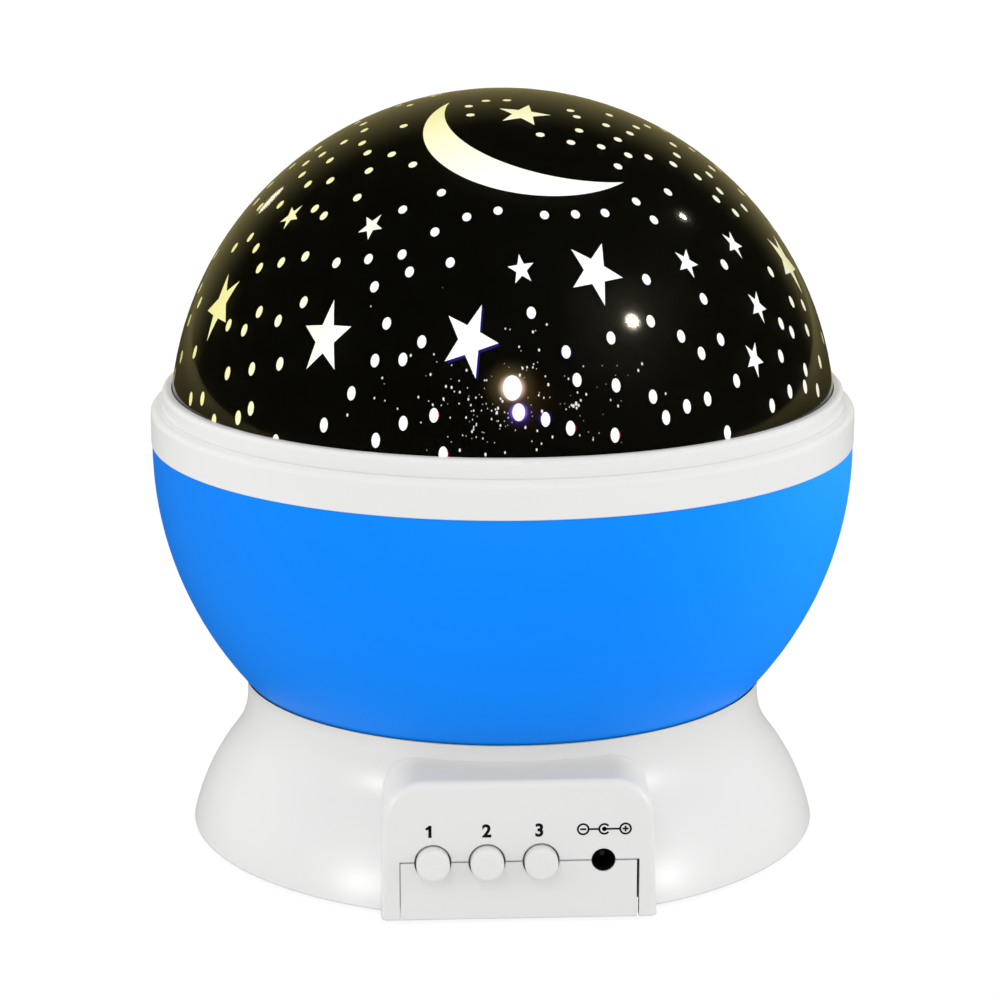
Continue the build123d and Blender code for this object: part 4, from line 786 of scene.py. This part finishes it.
# Dense black ink, screen-printed on the film: its far side glimmers olive, and lamps close behind
# glow through it, a glow that is painted on the ink as emitted light
filmInk = {
    "colours": ("#0A0B06", "#100F08"),
    "cloud": 9,  # mm, width of the patches between its colours
    "glowFall": 2.4,  # power by which a lamp's glow falls
    "roughness": 0.3,
    "ior": 1.3,
    "sheen": 0.14,
    "sheenRoughness": 0.4,
    "sheenTint": "#D8C85A",
}


def litFilm(name, strength):
    material, tree = newMaterial(name)
    arm = addNode(tree, "ShaderNodeVectorMath", {
        "operation": "SUBTRACT", 0: onPiece(tree), 1: filmCentre})
    facing = addNode(tree, "ShaderNodeVectorMath", {
        "operation": "DOT_PRODUCT", 0: arm.outputs[0], 1: skyPlane(*filmLight["ahead"])[0]})
    start, end = (share * domeFilm["radius"] * mm for share in filmLight["fade"])
    warm = ramp(tree, facing.outputs["Value"], start, end, 1.0, 0.0, "SMOOTHSTEP")
    principled(tree, {
        "Base Color": linearColour(filmLight["colour"]), "Roughness": filmLight["roughness"],
        "Emission Strength": strength,
        "Emission Color": mixColours(tree, warm, filmLight["white"], filmLight["warm"])})
    return material


def blueLight():
    material, tree = newMaterial("film edge, blue light")
    principled(tree, {
        "Base Color": linearColour(edgeLight["colour"]), "Roughness": edgeLight["roughness"],
        "Emission Color": linearColour(edgeLight["light"]), "Emission Strength": 1.0})
    return material


def printedFilm():
    material, tree = newMaterial("black printed film")
    place = onPiece(tree)
    cloud = noise(tree, filmInk["cloud"], detail=3.0)
    total = None
    # painted glow: each halo or fringe is emitted by the ink round its window
    for spot, size, reach, colour in lampGlows:
        middle = filmCentre + skyPlane(*spot)[0] * domeFilm["radius"] * mm
        away = addNode(tree, "ShaderNodeVectorMath", {
            "operation": "DISTANCE", 0: place, 1: middle})
        fade = ramp(tree, away.outputs["Value"], size * mm, (size + reach) * mm, 1.0, 0.0)
        soft = maths(tree, "POWER", fade, filmInk["glowFall"])
        glow = mixColours(tree, soft, "#000000", colour)
        total = glow if total is None else mixColours(tree, 1.0, total, glow, "ADD")
    principled(tree, {
        "Base Color": mixColours(tree, cloud, *filmInk["colours"]),
        "Roughness": filmInk["roughness"], "IOR": filmInk["ior"],
        "Sheen Weight": filmInk["sheen"], "Sheen Roughness": filmInk["sheenRoughness"],
        "Sheen Tint": linearColour(filmInk["sheenTint"]), "Emission Strength": 1.0,
        "Emission Color": total})
    return material


def filmShell(name, material, rings=48, turns=192):
    # the printed film itself: a thin cap, closed along its lower edge
    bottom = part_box("star_film")[0].z
    points = []
    faces = []
    for radius in (domeFilm["radius"] * mm, (domeFilm["radius"] - domeFilm["wall"]) * mm):
        lowest = math.asin((bottom - filmCentre.z) / radius)
        for ring in range(rings):
            rise = lowest + (math.pi / 2 - lowest) * ring / rings
            for step in range(turns):
                turn = 2 * math.pi * step / turns
                points.append(filmCentre + radius * Vector((
                    math.cos(rise) * math.cos(turn), math.cos(rise) * math.sin(turn),
                    math.sin(rise))))
        points.append(filmCentre + Vector((0, 0, radius)))
    shell = rings * turns + 1
    top = (rings - 1) * turns
    for step in range(turns):
        after = (step + 1) % turns
        for low in range(0, top, turns):
            high = low + turns
            faces.append([low + step, low + after, high + after, high + step])
            faces.append([shell + high + step, shell + high + after, shell + low + after,
                          shell + low + step])
        faces.append([top + step, top + after, shell - 1])
        faces.append([shell + top + after, shell + top + step, 2 * shell - 1])
        faces.append([after, step, shell + step, shell + after])
    return meshPiece(name, points, faces, material, domeFilm["crease"])


def isClear(place, taken, gap):
    # nothing that was placed before is near
    out = skyPlane(*place)[0]
    return all(out.angle(other) > clear + gap for other, clear in taken)


def addWindows(windows):
    # stars, moon, lit spots and dots; gives the directions and angles that the dots keep clear of
    taken = []
    for stars, kind in ((bigStars, "bigStar"), (smallStars, "smallStar")):
        size, rings = domeFilm[kind]
        for azimuth, elevation, tilt in stars:
            place = (azimuth, elevation)
            windows.addOutline(place, starOutline(place, size, tilt), rings)
            taken.append((skyPlane(*place)[0], size * spacing["star"] / domeFilm["radius"]))
    addMoon(windows)
    for spot, size in lampSpots:
        outline = dotOutline(spot, size, corners=24, height=domeFilm["lampTall"])
        windows.addOutline(spot, outline, rings=2)
        taken.append((skyPlane(*spot)[0], size * spacing["lamp"] / domeFilm["radius"]))
    front = trailPlaces(dotTrails)
    for place in front:
        windows.addDot(place)
        taken.append((skyPlane(*place)[0], spacing["dot"]))
    for turn in trailTurns:
        for azimuth, elevation in front:
            place = (azimuth + turn, elevation)
            if elevation < spacing["turnedTop"] and isClear(place, taken, spacing["turned"]):
                windows.addDot(place)
                taken.append((skyPlane(*place)[0], spacing["dot"]))
    for place in trailPlaces(backTrails):
        if isClear(place, taken, spacing["back"]):
            windows.addDot(place)
    return taken


def addPinholes(holes, taken):
    draw = random.Random(pinholes["seed"])
    (across, up), (wide, high) = pinholes["middle"], pinholes["spread"]
    least, more = pinholes["size"]
    for number in range(pinholes["tries"]):
        place = (draw.gauss(across, wide), up + draw.gauss(0, high))
        size = least + more * draw.random() ** 2
        out = skyPlane(*place)[0]
        if place[1] > pinholes["lowest"] and all(
                out.angle(other) > clear * pinholes["clear"] for other, clear in taken):
            holes.addOutline(place, dotOutline(place, size, pinholes["corners"]), rings=1)
    across, up = pinholes["knot"]
    for east, north, size in pinholes["inKnot"]:
        place = (across + east, up + north)
        holes.addOutline(place, dotOutline(place, size, pinholes["corners"]), rings=1)


def buildFilm():
    windows = WindowMesh()
    taken = addWindows(windows)
    # painted glow: a shifted copy of the star glows violet beside the window's edge
    edges = WindowMesh(domeFilm["proud"] / 2)
    size, rings = domeFilm["bigStar"]
    for place, tilt, (east, north) in blueEdges:
        star = starOutline(place, size, tilt)
        edges.addOutline(place, [(x + east, y + north) for x, y in star], rings)
    fringe = edges.piece("filmEdges", blueLight())
    glow = windows.piece("filmWindows", litFilm("clear film, lit", filmLight["windows"]))
    printed = filmShell("filmPrint", printedFilm())
    holes = WindowMesh()
    addPinholes(holes, taken)
    specks = holes.piece("filmPinholes", litFilm("pinholes in the print", filmLight["pinholes"]))
    for made in (glow, printed, specks, fringe):
        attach(made, "dome")
    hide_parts("star_film")
    print("film:", len(windows.faces), "window faces")


buildFilm()
studioLamps(studio)
glintLamps(studio)
print("lamps lit")

# Marks beside the controls, printed on the pod's face: numbers, and a plain polarity sign; all mm
marks = {
    "face": 54.5,  # the pod's face, from the axis
    "ink": 0.03,
    "height": 15.9,
    "capHeight": 2.05,
    "capShare": 0.69,  # of the built-in font's size
    "bolder": 0.1,
    "numbers": {"2": -5.3, "3": 3.2},
    "signPlace": 13.7,
    "signWidth": 8.6,
    "stroke": 0.3,
    "join": 0.2,  # how far a stroke runs past its ends, as a share of half its width
    "arm": 0.45,  # half of the plus and the minus
    "openCircle": (0.95, 40, 320),  # share of the other circles' radius, first and last degree
    "dot": (0.18, 0.4),  # radius, stroke
}
# the number one is drawn: a stem and a short flag to its left
markOne = {
    "place": -14.45,
    "inset": 0.05,  # of the stem's ends
    "stem": 0.5,  # widths
    "flag": 0.4,
    "flagReach": 0.62,  # left and down from the stem's top
    "flagTop": 0.2,
}


def printNumber(text, place, material):
    curve = bpy.data.curves.new("mark" + text, "FONT")
    curve.body = text
    curve.align_x = "CENTER"
    curve.size = marks["capHeight"] / marks["capShare"] * mm
    curve.offset = marks["bolder"] * mm
    curve.extrude = marks["ink"] / 2 * mm
    made = bpy.data.objects.new("mark" + text, curve)
    scene.collection.objects.link(made)
    made.location = (place * mm, -(marks["face"] + marks["ink"] / 2) * mm,
                     (marks["height"] - marks["capHeight"] / 2) * mm)
    made.rotation_euler = (math.pi / 2, 0, 0)
    curve.materials.append(material)
    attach(made, "root")


def inkStroke(points, width):
    # a flat stroke on the pod's face, as a list of quads
    quads = []
    for first, second in zip(points, points[1:]):
        first, second = Vector(first), Vector(second)
        way = (second - first).normalized() * width / 2
        side = Vector((-way.y, way.x))
        a, b = first - way * marks["join"], second + way * marks["join"]
        quads.append([a - side, b - side, b + side, a + side])
    return quads


def ringPoints(x, radius, start=0, end=360, steps=20):
    turns = [math.radians(start + (end - start) * step / steps) for step in range(steps + 1)]
    return [(x + radius * math.cos(turn), radius * math.sin(turn)) for turn in turns]


def inkPiece(name, quads, place, material):
    # quads as a thin printed layer on the pod's face
    points = []
    faces = []
    for quad in quads:
        start = len(points)
        for depth in (marks["ink"], -marks["ink"]):
            for corner in quad:
                points.append(((place + corner.x) * mm, -(marks["face"] + depth) * mm,
                               (marks["height"] + corner.y) * mm))
        faces += [[start, start + 1, start + 2, start + 3],
                  [start + 7, start + 6, start + 5, start + 4]]
        for edge in range(4):
            after = (edge + 1) % 4
            faces.append([start + after, start + edge, start + 4 + edge, start + 4 + after])
    made = meshPiece(name, points, faces, material)
    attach(made, "root")


def printOne(material):
    top = marks["capHeight"] / 2
    end = top - markOne["inset"]
    reach = markOne["flagReach"]
    quads = inkStroke([(0, -end), (0, end)], markOne["stem"])
    quads += inkStroke([(-reach, top - reach), (0, top - markOne["flagTop"])], markOne["flag"])
    inkPiece("mark1", quads, markOne["place"], material)


def printPolarity(material):
    # minus at the shell, dot at the pin, plus: circles joined by lines, an open one round the dot
    half = marks["signWidth"] / 2
    stroke, arm = marks["stroke"], marks["arm"]
    radius = marks["capHeight"] / 2 - stroke / 2
    share, start, end = marks["openCircle"]
    dotRadius, dotStroke = marks["dot"]
    quads = []
    for x in (-half + radius, half - radius):
        quads += inkStroke(ringPoints(x, radius), stroke)
        quads += inkStroke([(x - arm, 0), (x + arm, 0)], stroke)
    quads += inkStroke([(half - radius, -arm), (half - radius, arm)], stroke)
    quads += inkStroke(ringPoints(0, radius * share, start, end), stroke)
    quads += inkStroke(ringPoints(0, dotRadius), dotStroke)
    quads += inkStroke([(-half + 2 * radius, 0), (-radius * share, 0)], stroke)
    quads += inkStroke([(0, 0), (half - 2 * radius, 0)], stroke)
    inkPiece("markPolarity", quads, marks["signPlace"], material)


# Liner of the power socket: a moulded collar of black nylon that fills the opening's rim
liner = {
    "place": (13.6, 10.6),  # across and up, in mm
    "outer": 1.94,
    "inner": 1.8,
    "front": 54.35,
    "back": 52.45,
    "edge": 0.07,  # the front edges are rounded by about this
    "crease": 50,  # degrees
}


def socketLiner(steps=48):
    # a ring turned from its section, whose corners at the front are rounded in two steps
    outer, inner, edge = liner["outer"], liner["inner"], liner["edge"]
    front, back = liner["front"], liner["back"]
    section = [(outer, back), (outer, front - edge), (outer - edge * 0.3, front - edge * 0.3),
               (outer - edge, front), (inner + edge * 0.5, front - edge * 0.2),
               (inner, front - edge), (inner, back)]
    across, up = liner["place"]
    points = []
    faces = []
    for step in range(steps):
        turn = 2 * math.pi * step / steps
        points += [((across + radius * math.cos(turn)) * mm, -depth * mm,
                    (up + radius * math.sin(turn)) * mm) for radius, depth in section]
    size = len(section)
    for step in range(steps):
        low, high = step * size, (step + 1) % steps * size
        for corner in range(size):
            after = (corner + 1) % size
            faces.append([low + corner, high + corner, high + after, low + after])
    black = nodes["power_socket"].active_material
    made = meshPiece("socketLiner", points, faces, black, liner["crease"])
    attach(made, "root")


socketLiner()
ink = plainFinish("printedInk")
printOne(ink)
for text, place in marks["numbers"].items():
    printNumber(text, place, ink)
printPolarity(ink)
print("marks printed")
